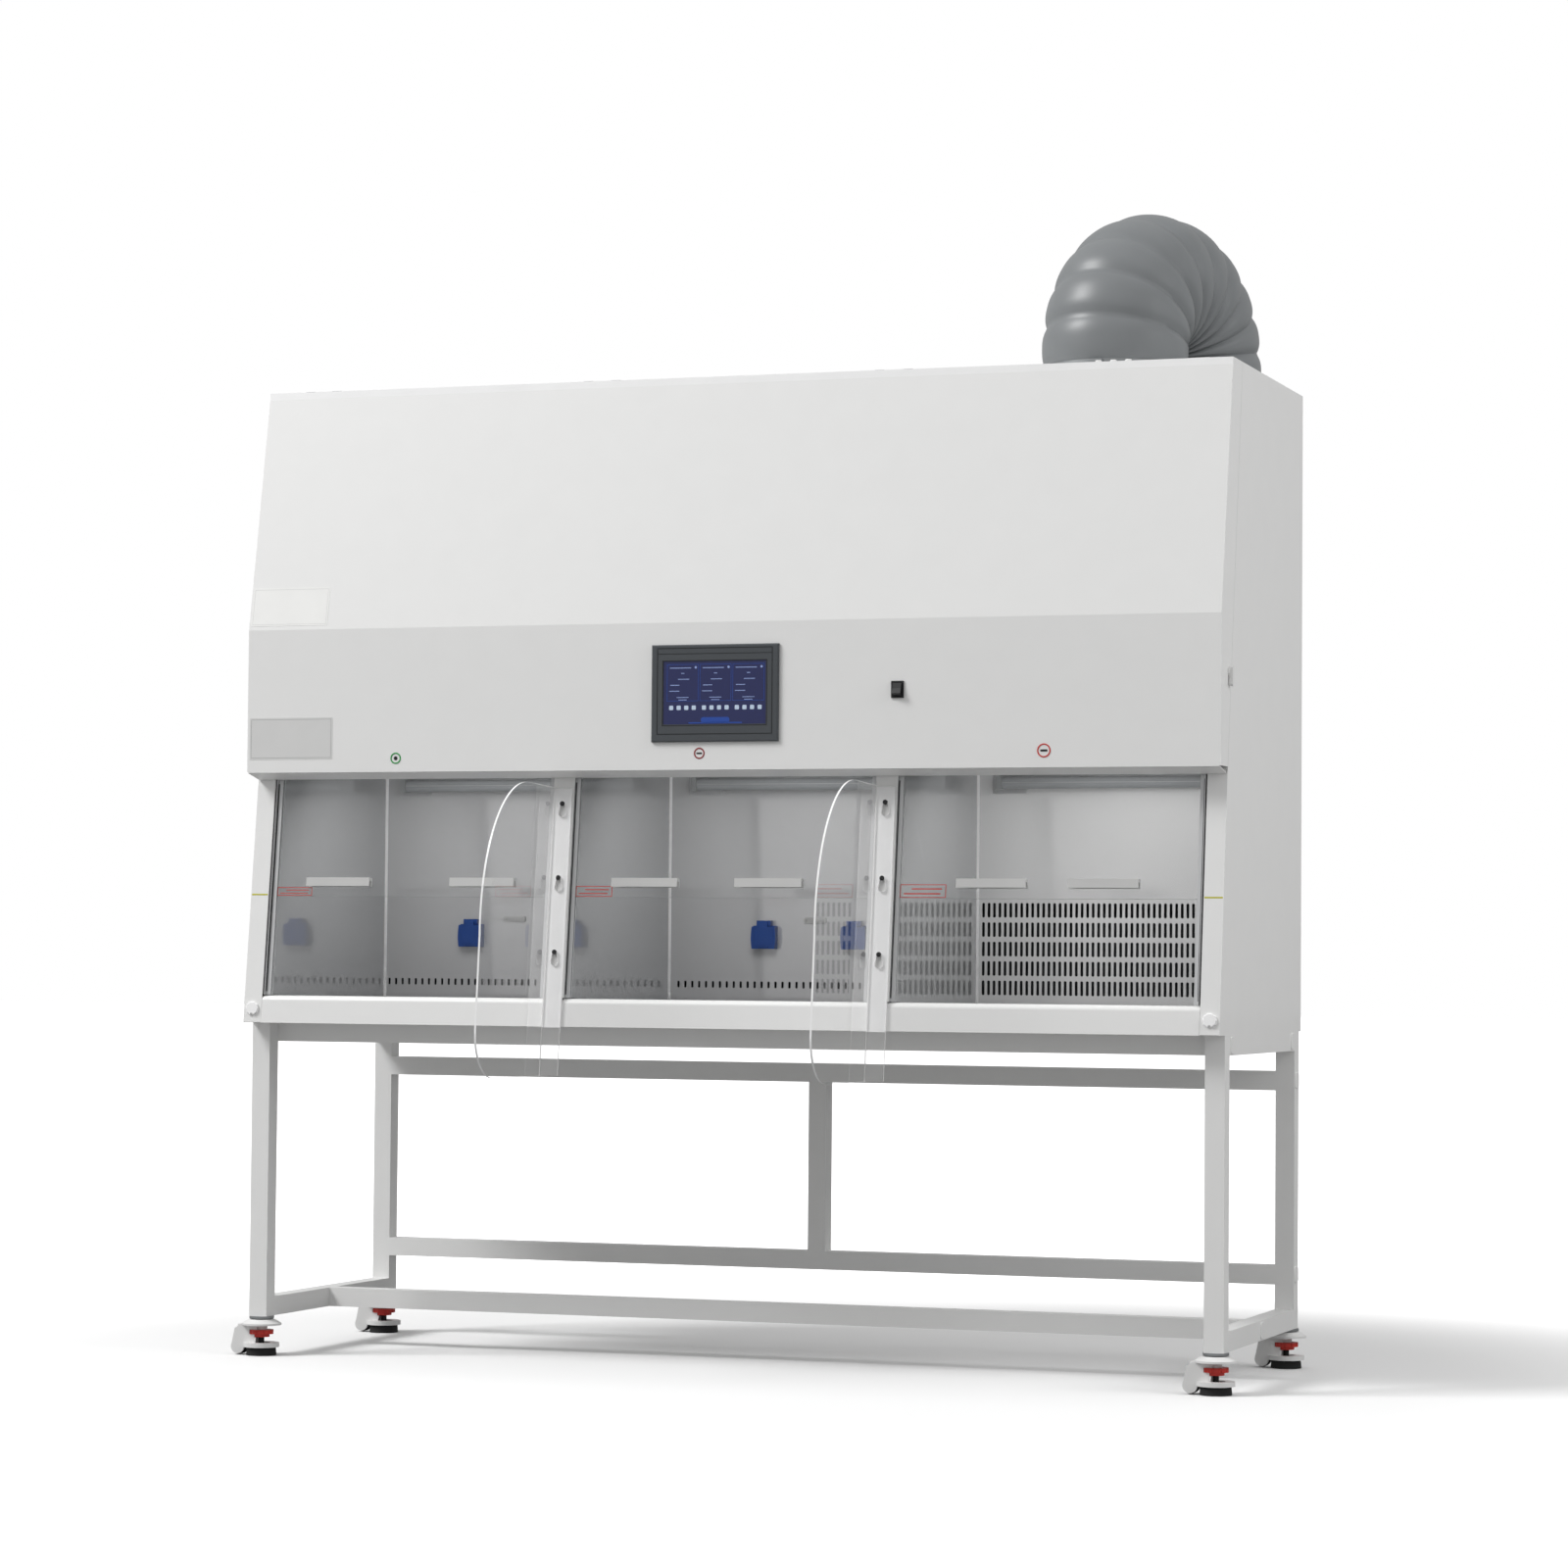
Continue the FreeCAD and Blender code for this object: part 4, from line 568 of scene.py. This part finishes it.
def duct_stations(lobes, depth):
    """Middle, outward direction and radius along the duct: up, half round a bend and down again."""
    way = Vector((math.cos(BEND_HEADING), math.sin(BEND_HEADING), 0))
    centre = BEND_START + way * BEND_R
    pitch = math.pi * (BEND_R + 150) / lobes
    low = TOP_Z + 20
    for i in range(STRAIGHT_STEPS + 1):
        z = low + (BEND_START.z - low) * i / STRAIGHT_STEPS
        yield Vector((BEND_START.x, BEND_START.y, z)), -way, duct_radius((z - BEND_START.z) / pitch, depth)
    steps = lobes * LOBE_STEPS
    for i in range(1, steps + 1):
        turn = math.pi * i / steps
        out = -way * math.cos(turn) + Vector(UPWARDS) * math.sin(turn)
        yield centre + out * BEND_R, out, duct_radius(lobes * i / steps, depth)
    end = centre + way * BEND_R
    foot = TOP_Z + 1
    for i in range(1, STRAIGHT_STEPS + 1):
        z = end.z + (foot - end.z) * i / STRAIGHT_STEPS
        yield Vector((end.x, end.y, z)), way, duct_radius(lobes + (end.z - z) / pitch, depth)


def build_duct(bm, lobes, depth):
    """Rings of the duct at every station, joined to a closed skin."""
    across = Vector((-math.sin(BEND_HEADING), math.cos(BEND_HEADING), 0))
    rings = []
    for middle, out, radius in duct_stations(lobes, depth):
        ring = []
        for k in range(DUCT_SEGMENTS):
            a = 2 * math.pi * k / DUCT_SEGMENTS
            p = middle + (out * math.cos(a) + across * math.sin(a)) * radius
            ring.append(bm.verts.new(at(*p)))
        rings.append(ring)
    for low_ring, high_ring in zip(rings, rings[1:]):
        for k in range(DUCT_SEGMENTS):
            n = (k + 1) % DUCT_SEGMENTS
            bm.faces.new((low_ring[k], low_ring[n], high_ring[n], high_ring[k]))
    bm.faces.new(rings[0][::-1])
    bm.faces.new(rings[-1])


class WORKSTATION_OT_duct(bpy.types.Operator):
    """Replace the plain duct with a corrugated one"""

    bl_idname = "workstation.duct"
    bl_label = "Exhaust duct"

    def execute(self, context):
        settings = context.scene.workstation
        duct = make_piece(
            "corrugated_duct", lambda bm: build_duct(bm, settings.lobe_count, settings.lobe_depth), "duct",
            "cabinet", smooth=50)
        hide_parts("exhaust_duct")
        return {"FINISHED"}


# Front cover fittings

RINGS = {"green": (-708, 1253, 11.8), "dark_red": (-34, 1258, 11.5), "red": (692, 1258, 13.9)}
DISPLAY_MIDDLE = 1380.5
PANELS = (-69, 2, 73)
ICON_PITCH = 16.3


def build_ring(bm, x, z, radius):
    """A thin ring on the header."""
    profile = [(radius, 0), (radius, 0.5), (radius - 0.3, 0.8), (radius - 2.4, 0.8), (radius - 2.7, 0.5),
               (radius - 2.7, 0)]
    add_lathe(bm, HEADER.matrix(x, z), profile, 48, capped=False)


def build_ring_bars(bm):
    """Dark bars inside the two red rings and a round dot inside the green one."""
    for name in ("dark_red", "red"):
        x, z, radius = RINGS[name]
        add_plate(bm, HEADER.matrix(x, z), radius * 1.05, radius * 0.3, 0.5, radius * 0.1, 0.1)
    x, z, radius = RINGS["green"]
    add_plate(bm, HEADER.matrix(x, z), radius * 0.7, radius * 0.7, 0.5, radius * 0.34, 0.1)


def build_screen_lines(bm):
    """Three panels of plain bars, each with a title bar, a dot and two bars at its foot."""
    for x in PANELS:
        add_plate(bm, DISPLAY.matrix(x - 5, DISPLAY_MIDDLE + 51), 46, 1.6, 0.2, 0.4, 0.1)
        add_plate(bm, DISPLAY.matrix(x + 28, DISPLAY_MIDDLE + 52), 5, 5, 0.2, 2.4, 0.1)
        for row, (dx, width) in enumerate(((0, 7), (2, 24), (-17, 20), (-18, 22))):
            add_plate(bm, DISPLAY.matrix(x + dx, DISPLAY_MIDDLE + 40 - row * 12), width, 1.5, 0.2, 0.3, 0.1)
        for row, width in enumerate((26, 18)):
            add_plate(bm, DISPLAY.matrix(x, DISPLAY_MIDDLE - 9 - row * 5), width, 1.3, 0.2, 0.3, 0.1)


def build_screen_panels(bm):
    """Dim outlines of the panels, and a wide tab at the bottom."""
    for x in PANELS:
        add_frame(bm, DISPLAY.matrix(x, DISPLAY_MIDDLE + 21), 68, 75, 0.8, 0.2)
    add_plate(bm, DISPLAY.matrix(2, DISPLAY_MIDDLE - 61), 116, 2.4, 0.2, 1.1, 0.1)
    add_plate(bm, DISPLAY.matrix(2, DISPLAY_MIDDLE - 55), 62, 11, 0.2, 5, 0.1)


def build_bezel_line(bm):
    """Thin raised lines round the display window and round the bezel, and one above the display."""
    add_frame(bm, BEZEL.matrix(0, DISPLAY_MIDDLE), 226, 133, 1.2, 0.5)
    add_frame(bm, BEZEL.matrix(0, DISPLAY_MIDDLE + 4), 249, 176, 1.3, 0.5)
    add_plate(bm, BEZEL.matrix(0, DISPLAY_MIDDLE + 80), 245, 1.0, 0.4, 0.4, 0.2)


def build_cover_lip_highlight(bm):
    """Thin bright strip along the bottom edge of the cover: a painted highlight line on its folded lip."""
    add_plate(bm, HEADER.matrix(0, BASE_Z + 525.3, -1.4), 2 * HALF_W - 6, 1.4, 1.4, 0.4, 0.3)


def build_cover_plugs(bm):
    """Three low plugs on the top of the cover, in front of the duct."""
    profile = [(8, 0), (8, 3), (6.6, 3.6), (6.6, 8.2), (5.8, 9.2), (3.2, 9.2), (2.8, 7), (0, 7)]
    for x in (762, 793, 824):
        add_lathe(bm, TOP.matrix(x, 140), profile, 24)


def add_bordered_plate(name, matrix, width, height, finish, line):
    """A blank printed plate: a bevelled plate with a thin border line."""
    make_piece(name, lambda bm: add_plate(bm, matrix, width, height, 0.4, 2.5, 0.15), finish, "cover")
    raised = matrix @ Matrix.Translation((0, 0, 0.4 * MM))
    make_piece(name + "_border", lambda bm: add_frame(bm, raised, width - 7, height - 7, 0.7, 0.15), line,
               "cover")


class WORKSTATION_OT_cover(bpy.types.Operator):
    """Status rings, blank plates, plugs and the display's generic content"""

    bl_idname = "workstation.cover"
    bl_label = "Cover fittings"

    def execute(self, context):
        for finish, (x, z, radius) in RINGS.items():
            make_piece("status_ring_" + finish, lambda bm: build_ring(bm, x, z, radius), finish, "cover",
                       smooth=30)
        make_piece("ring_marks", build_ring_bars, "black", "cover")
        make_piece("display_lines", build_screen_lines, "display_line", "cover")
        make_piece("display_panels", build_screen_panels, "display_panel", "cover")
        # a bright strip under the cover: a painted highlight line
        make_piece("cover_trim", build_cover_lip_highlight, "rim", "cover")
        make_piece("bezel_line", build_bezel_line, "black", "cover")
        icons = [DISPLAY.point(x + ICON_PITCH * i, DISPLAY_MIDDLE - 30) for x in PANELS
                 for i in (-1.5, -0.5, 0.5, 1.5)]
        repeat("display_icons", lambda bm: add_plate(bm, DISPLAY.axes(), 9, 9, 0.2, 2, 0.1), icons,
               "display_icon", "cover")
        add_bordered_plate("blank_name_plate", UPPER.matrix(-958, 50), 177, 83, "label", "grey_label_and_keyhole_shade")
        add_bordered_plate("blank_grey_plate", HEADER.matrix(-949, 1296), 192, 88, "grey_label_and_keyhole_shade",
                           "grey_plastic")
        make_piece("cover_plugs", build_cover_plugs, "white_plastic", "cover", smooth=30)
        screws = [TOP.point(x, 158, 2) for x in HINGE_SCREW_X]
        repeat("cover_hinge_screws", lambda bm: add_screw(bm, TOP.axes(), 3, 1.4), screws, "screw", "cover")
        return {"FINISHED"}


# Cabinet fittings

def build_strip_caps(bm):
    """Round caps with a notch at the bottom, low on both front strips."""
    for x in STRIP_X:
        outline = []
        for i in range(96):
            a = 2 * math.pi * i / 96
            radius = 11 if abs(a - 1.5 * math.pi) < 0.2 else 14 + 0.5 * math.cos(10 * a)
            outline.append((radius * math.cos(a), radius * math.sin(a)))
        add_outline(bm, outline, SLOPE.matrix(x, 29.5), 5, 1.6)


def build_height_marks(bm):
    """Thin coloured marks across both strips at the sash's working height."""
    for x in STRIP_X:
        add_plate(bm, SLOPE.matrix(x, slope_up(969)), 37, 3, 0.25, 0.5, 0.1)


def build_guide_gaskets(bm):
    """Thin black gasket line down the outer edge of every sash guide."""
    middle = (57.4 + 513) / 2 / math.cos(LEAN)
    for name, x in CHAMBER_X.items():
        for sign in (-1, 1):
            place = SLOPE.matrix(x + sign * (CHAMBER_HALF[name] - 1.5), middle, -7.3)
            add_plate(bm, place, 1.8, 440, 0.8, 0.5, 0.3)


def build_corner_beads(bm):
    """Coved beads in the upright rear corners of the chambers, pale as a painted highlight along the bends.
    """
    for name, x in CHAMBER_X.items():
        for sign in (-1, 1):
            for i in range(3):
                size = 4.5 - 1.5 * i
                matrix = BACK_WALL.matrix(x + sign * (CHAMBER_HALF[name] - size / 2), 1018, 1.5 * i)
                add_plate(bm, matrix, size, 530, 1.5, 0.4, 0.3)


def build_keyhole_shade_plates(bm):
    """Grey plates behind the keyholes of both strips: painted shade of the recesses seen through them."""
    for x in (-350, 350):
        for up in (458, 305, 152):
            add_plate(bm, SLOPE.matrix(x, up / math.cos(LEAN) - 10), 17, 33, 0.22, 6, 0.05)


def build_side_plugs(bm):
    """Rounded plugs over the ends of the rails, on both outer sides of the stand."""
    for sign in (-1, 1):
        face = side_plane(sign)
        for y, z in ((106, 680), (644, 680), (375, 102), (684, 598), (684, 194)):
            add_plate(bm, face.matrix(sign * y, z), 30, 34, 2.2, 7, 1.0)


def build_sensor_plates(bm):
    """Two small grey plates with screws on the back walls."""
    for x in (-691, 10):
        add_plate(bm, BACK_WALL.matrix(x, 926), 50, 12, 3, 2, 0.8)
        for dx in (-20, 20):
            add_screw(bm, BACK_WALL.matrix(x + dx, 926, 3), 2, 0.8)


def lamp_ends():
    """Both ends of every lamp, with the way that leads to its middle."""
    for name, x in CHAMBER_X.items():
        for sign in (-1, 1):
            yield x + sign * 260, -sign


def build_lamp_brackets(bm):
    """Angled sheet brackets at the ends of the lamps."""
    for x, way in lamp_ends():
        outline = [(-22, 1197), (53, 1197), (53, 1209.5), (-0.5, 1209.5), (-0.5, 1236), (-22, 1236)]
        points = [(x + way * px, pz) for px, pz in outline]
        add_outline(bm, points if way > 0 else points[::-1], BACK_WALL.matrix(0, 0), 1.2, 0.2)


def build_top_box(bm):
    """Low chamfered connection box on the top, beside the duct."""
    add_plate(bm, TOP.matrix(873, 192), 36, 24, 12, 3, 2.5)


def build_inlet(bm):
    """Power inlet with a rim, three blades and a drawer above it."""
    add_plate(bm, REAR.matrix(-860, 800), 50, 72, 3, 3, 0.6)
    add_frame(bm, REAR.matrix(-860, 788, 3), 34, 26, 2.4, 4)
    for dx, dz in ((-7, -2), (7, -2), (0, 4)):
        add_plate(bm, REAR.matrix(-860 + dx, 788 + dz, 3), 2, 5, 3, 0.4, 0.3)
    add_plate(bm, REAR.matrix(-860, 818, 3), 30, 18, 1.8, 1.5, 0.5)


def build_cable_glands(bm):
    """Two closed cable glands beside the power inlet."""
    profile = [(15, 0), (15, 4), (12, 5), (12, 12), (10, 14), (6, 14), (5, 11), (0, 11)]
    for x in (-780, -740):
        add_lathe(bm, REAR.matrix(x, 800), profile, 28)


def rear_screw_points():
    """Places of the screws along the top, bottom and sides of the rear cover."""
    along = [REAR.point(-1005 + 201 * i, z) for i in range(11) for z in (743, 1962)]
    up = [REAR.point(sign * 1005, 743 + 203.2 * i) for i in range(1, 6) for sign in (-1, 1)]
    return along + up


class WORKSTATION_OT_cabinet(bpy.types.Operator):
    """Caps, marks, plugs, brackets, plates and screws of the cabinet and stand"""

    bl_idname = "workstation.cabinet"
    bl_label = "Cabinet fittings"

    def execute(self, context):
        pieces = [
            ("strip_caps", build_strip_caps, "strip", "white_plastic"),
            ("height_marks", build_height_marks, "yellow", "white_plastic"),
            ("guide_gaskets", build_guide_gaskets, "black", "black_plastic"),
            # pale corner beads: painted highlight
            ("corner_beads", build_corner_beads, "corner", "white_plastic"),
            # grey plates in the keyholes: painted shade
            ("keyhole_recesses", build_keyhole_shade_plates, "grey_label_and_keyhole_shade", "grey_plastic"),
            ("rail_plugs", build_side_plugs, "white_plastic", "white_plastic"),
            ("sensor_plates", build_sensor_plates, "grey_plastic", "grey_plastic"),
            ("lamp_brackets", build_lamp_brackets, "tray", "stainless"),
            ("top_connection_box", build_top_box, "white_plastic", "white_plastic"),
            ("power_inlet", build_inlet, "black", "black_plastic"),
            ("cable_glands", build_cable_glands, "black", "black_plastic"),
        ]
        for name, build, finish, slot in pieces:
            make_piece(name, build, finish, "cabinet", smooth=30)
        screws = [TOP.point(x, 186, 2) for x in HINGE_SCREW_X]
        repeat("hinge_screws", lambda bm: add_screw(bm, TOP.axes(), 3, 1.4), screws, "screw", "cabinet")
        repeat("rear_screws", lambda bm: add_screw(bm, REAR.axes(), 4, 2), rear_screw_points(), "screw",
               "cabinet")
        brackets = [BACK_WALL.point(x - way * 12, z, 1.2) for x, way in lamp_ends() for z in (1205, 1227)]
        repeat("bracket_screws", lambda bm: add_screw(bm, BACK_WALL.axes(), 2.2, 1.2), brackets, "screw",
               "cabinet")
        return {"FINISHED"}


# Fittings of moving parts: middle, width and height of each sash label, and the middle of each socket

SASH_LABELS = {"left": (-954, 80, 18), "middle": (-276, 80, 22), "right": (432, 96, 27)}
SOCKET_X = {"left_a": -791, "left_b": -587, "middle_a": -102, "middle_b": 102}


def build_sash_label(bm, matrix, width, height):
    """Printed outline of a clear label, with two plain lines in it."""
    add_frame(bm, matrix, width, height, 1.4, 0.25)
    for dx, dy, share in ((0.08, 0.16, 0.66), (-0.02, -0.2, 0.8)):
        place = matrix @ Matrix.Translation((dx * width * MM, dy * height * MM, 0))
        add_plate(bm, place, width * share, height * 0.09, 0.2, 0.3, 0.08)


def build_lid_rims(bm, x):
    """A thin raised rim and a finger lip on the front of a socket lid."""
    z = BASE_Z + 164
    add_frame(bm, LID_FRONT.matrix(x, z + 24), 44, 36, 1.4, 0.6)
    add_plate(bm, LID_FRONT.matrix(x, z + 3.4), 24, 3.4, 2.6, 1.2, 0.6)


class WORKSTATION_OT_moving(bpy.types.Operator):
    """Blank sash labels and the rims of the socket lids"""

    bl_idname = "workstation.moving"
    bl_label = "Fittings of moving parts"

    def execute(self, context):
        for name, (x, width, height) in SASH_LABELS.items():
            place = SLOPE.matrix(x, slope_up(967) + 1 + height / 2, -10)
            make_piece("sash_label_" + name, lambda bm: build_sash_label(bm, place, width, height), "red",
                       "sash_" + name)
        for name, x in SOCKET_X.items():
            make_piece("lid_rim_" + name, lambda bm: build_lid_rims(bm, x), "blue", "lid_" + name)
        return {"FINISHED"}


# Stage: the floor in metres, and the camera in pixels, cabinet millimetres and degrees of yaw, pitch and roll

FLOOR_HALF = 60
FLOOR_Z = -0.0005
IMAGE_PX = 1600
FOCAL_PX = 4426.594
SENSOR_MM = 36
CAMERA_PLACE = (3040.9, -8239.2, 839.1)
CAMERA_TURN = (19.3347, 2.3308, 0.48284)


class WORKSTATION_OT_stage(bpy.types.Operator):
    """Pale floor, white surroundings, studio lights and the camera"""

    bl_idname = "workstation.stage"
    bl_label = "Stage"

    def execute(self, context):
        settings = context.scene.workstation
        context.scene.view_settings.view_transform = "Standard"
        make_world(settings.horizon, settings.zenith)
        make_floor()
        make_lights(settings.key_power)
        make_chamber_lights(settings.chamber_power)
        make_camera()
        return {"FINISHED"}


def make_world(horizon, zenith):
    """White where it is seen; as a light it grows from the horizon to the zenith."""
    world = bpy.data.worlds.new("studio")
    bpy.context.scene.world = world
    world.use_nodes = True
    tree = world.node_tree
    tree.nodes.clear()
    path = add_node(tree, "ShaderNodeLightPath")
    coords = add_node(tree, "ShaderNodeTexCoord")
    split = add_node(tree, "ShaderNodeSeparateXYZ", {"Vector": coords.outputs["Generated"]})
    level = add_node(tree, "ShaderNodeMapRange", {
        "Value": split.outputs["Z"], "To Min": horizon, "To Max": zenith})
    light = add_node(tree, "ShaderNodeBackground", {"Color": WHITE, "Strength": level.outputs["Result"]})
    seen = add_node(tree, "ShaderNodeBackground", {"Color": WHITE, "Strength": 1.0})
    mix = add_node(tree, "ShaderNodeMixShader", {
        0: path.outputs["Is Camera Ray"], 1: light.outputs[0], 2: seen.outputs[0]})
    add_node(tree, "ShaderNodeOutputWorld", {"Surface": mix.outputs[0]})


def make_floor():
    """A floor that is seen nearly white, with the shadow of the stand still on it."""
    mat, tree = new_material("pale_floor")
    path = add_node(tree, "ShaderNodeLightPath")
    coords = add_node(tree, "ShaderNodeTexCoord")
    away = add_node(tree, "ShaderNodeVectorMath", {0: coords.outputs["Object"]}, operation="LENGTH")
    glare = add_node(tree, "ShaderNodeMapRange", {
        "Value": away.outputs["Value"], "From Min": 1.4, "From Max": 3.4, "To Min": 0.02, "To Max": 0.9},
        interpolation_type="SMOOTHSTEP")
    seen = add_node(tree, "ShaderNodeMath", {0: path.outputs["Is Camera Ray"], 1: glare.outputs["Result"]},
                    operation="MULTIPLY")
    glow = add_node(tree, "ShaderNodeEmission", {"Color": WHITE, "Strength": seen.outputs[0]})
    share = add_node(tree, "ShaderNodeMapRange", {
        "Value": path.outputs["Is Camera Ray"], "To Min": 0.3, "To Max": 0.93})
    tone = add_node(tree, "ShaderNodeCombineColor", dict.fromkeys(("Red", "Green", "Blue"), share.outputs[0]))
    matte = add_node(tree, "ShaderNodeBsdfDiffuse", {"Color": tone.outputs[0]})
    both = add_node(tree, "ShaderNodeAddShader", {0: glow.outputs[0], 1: matte.outputs[0]})
    finish_tree(tree, both.outputs[0])
    mesh = bpy.data.meshes.new("floor")
    corners = ((-1, -1), (1, -1), (1, 1), (-1, 1))
    mesh.from_pydata([(x * FLOOR_HALF, y * FLOOR_HALF, FLOOR_Z) for x, y in corners], [], [(0, 1, 2, 3)])
    mesh.materials.append(mat)
    floor = add_object("floor", mesh)


def aim(obj, place, target):
    """Puts an object at a place, looking at a target."""
    obj.location = place
    obj.rotation_euler = (Vector(target) - Vector(place)).to_track_quat("-Z", "Y").to_euler()


def add_light(name, place, target, size, power):
    """A square soft light."""
    data = bpy.data.lights.new(name, "AREA")
    data.shape = "SQUARE"
    data.size = size
    data.energy = power
    light = add_object(name, data)
    aim(light, place, target)
    return light


def make_lights(power):
    """A large key light from the upper left, and a weak fill from the right that leaves no highlight."""
    add_light("key", (-7.4, -5.2, 9.6), (0, 0, 1.2), 4.2, power)
    fill = add_light("fill", (6.5, -0.9, 4.0), (0, 0, 1.2), 3.5, 0.13 * power)
    fill.visible_glossy = False


def make_chamber_lights(power):
    """Soft lights under the ceilings, which stand for the room light that many bounces bring in."""
    for name, x in CHAMBER_X.items():
        light = add_light("chamber_" + name, at(x, 170, 1205), at(x, 520, 860), 0.25, power)
        light.visible_camera = False
        light.visible_glossy = False


def make_camera():
    """The camera as it was solved from the photograph's straight edges."""
    data = bpy.data.cameras.new("camera")
    data.sensor_width = SENSOR_MM
    data.lens = FOCAL_PX / IMAGE_PX * SENSOR_MM
    data.clip_end = 200
    camera = add_object("camera", data)
    yaw, pitch, roll = (math.radians(v) for v in CAMERA_TURN)
    look = Vector((-math.sin(yaw) * math.cos(pitch), math.cos(yaw) * math.cos(pitch), math.sin(pitch)))
    level = Vector((math.cos(yaw), math.sin(yaw), 0))
    rise = level.cross(look)
    right = level * math.cos(roll) + rise * math.sin(roll)
    up = rise * math.cos(roll) - level * math.sin(roll)
    axes = Matrix((right, up, -look)).transposed().to_4x4()
    camera.matrix_world = Matrix.Translation(at(*CAMERA_PLACE)) @ axes
    bpy.context.scene.camera = camera


class WORKSTATION_PT_panel(bpy.types.Panel):
    """Buttons that dress the workstation step by step"""

    bl_label = "PCR workstation"
    bl_idname = "WORKSTATION_PT_panel"
    bl_space_type = "VIEW_3D"
    bl_region_type = "UI"
    bl_category = "Workstation"

    def draw(self, context):
        settings = context.scene.workstation
        for name in WorkstationSettings.__annotations__:
            self.layout.prop(settings, name)
        for step in STEPS:
            self.layout.operator(step.bl_idname)


STEPS = (WORKSTATION_OT_finishes, WORKSTATION_OT_duct, WORKSTATION_OT_cover, WORKSTATION_OT_cabinet,
         WORKSTATION_OT_moving, WORKSTATION_OT_stage)


def register():
    for item in (WorkstationSettings, *STEPS, WORKSTATION_PT_panel):
        bpy.utils.register_class(item)
    bpy.types.Scene.workstation = bpy.props.PointerProperty(type=WorkstationSettings)


def unregister():
    del bpy.types.Scene.workstation
    for item in (WORKSTATION_PT_panel, *reversed(STEPS), WorkstationSettings):
        bpy.utils.unregister_class(item)


def main():
    register()
    for step in STEPS:
        group, name = step.bl_idname.split(".")
        getattr(getattr(bpy.ops, group), name)()


if __name__ == "__main__":
    main()
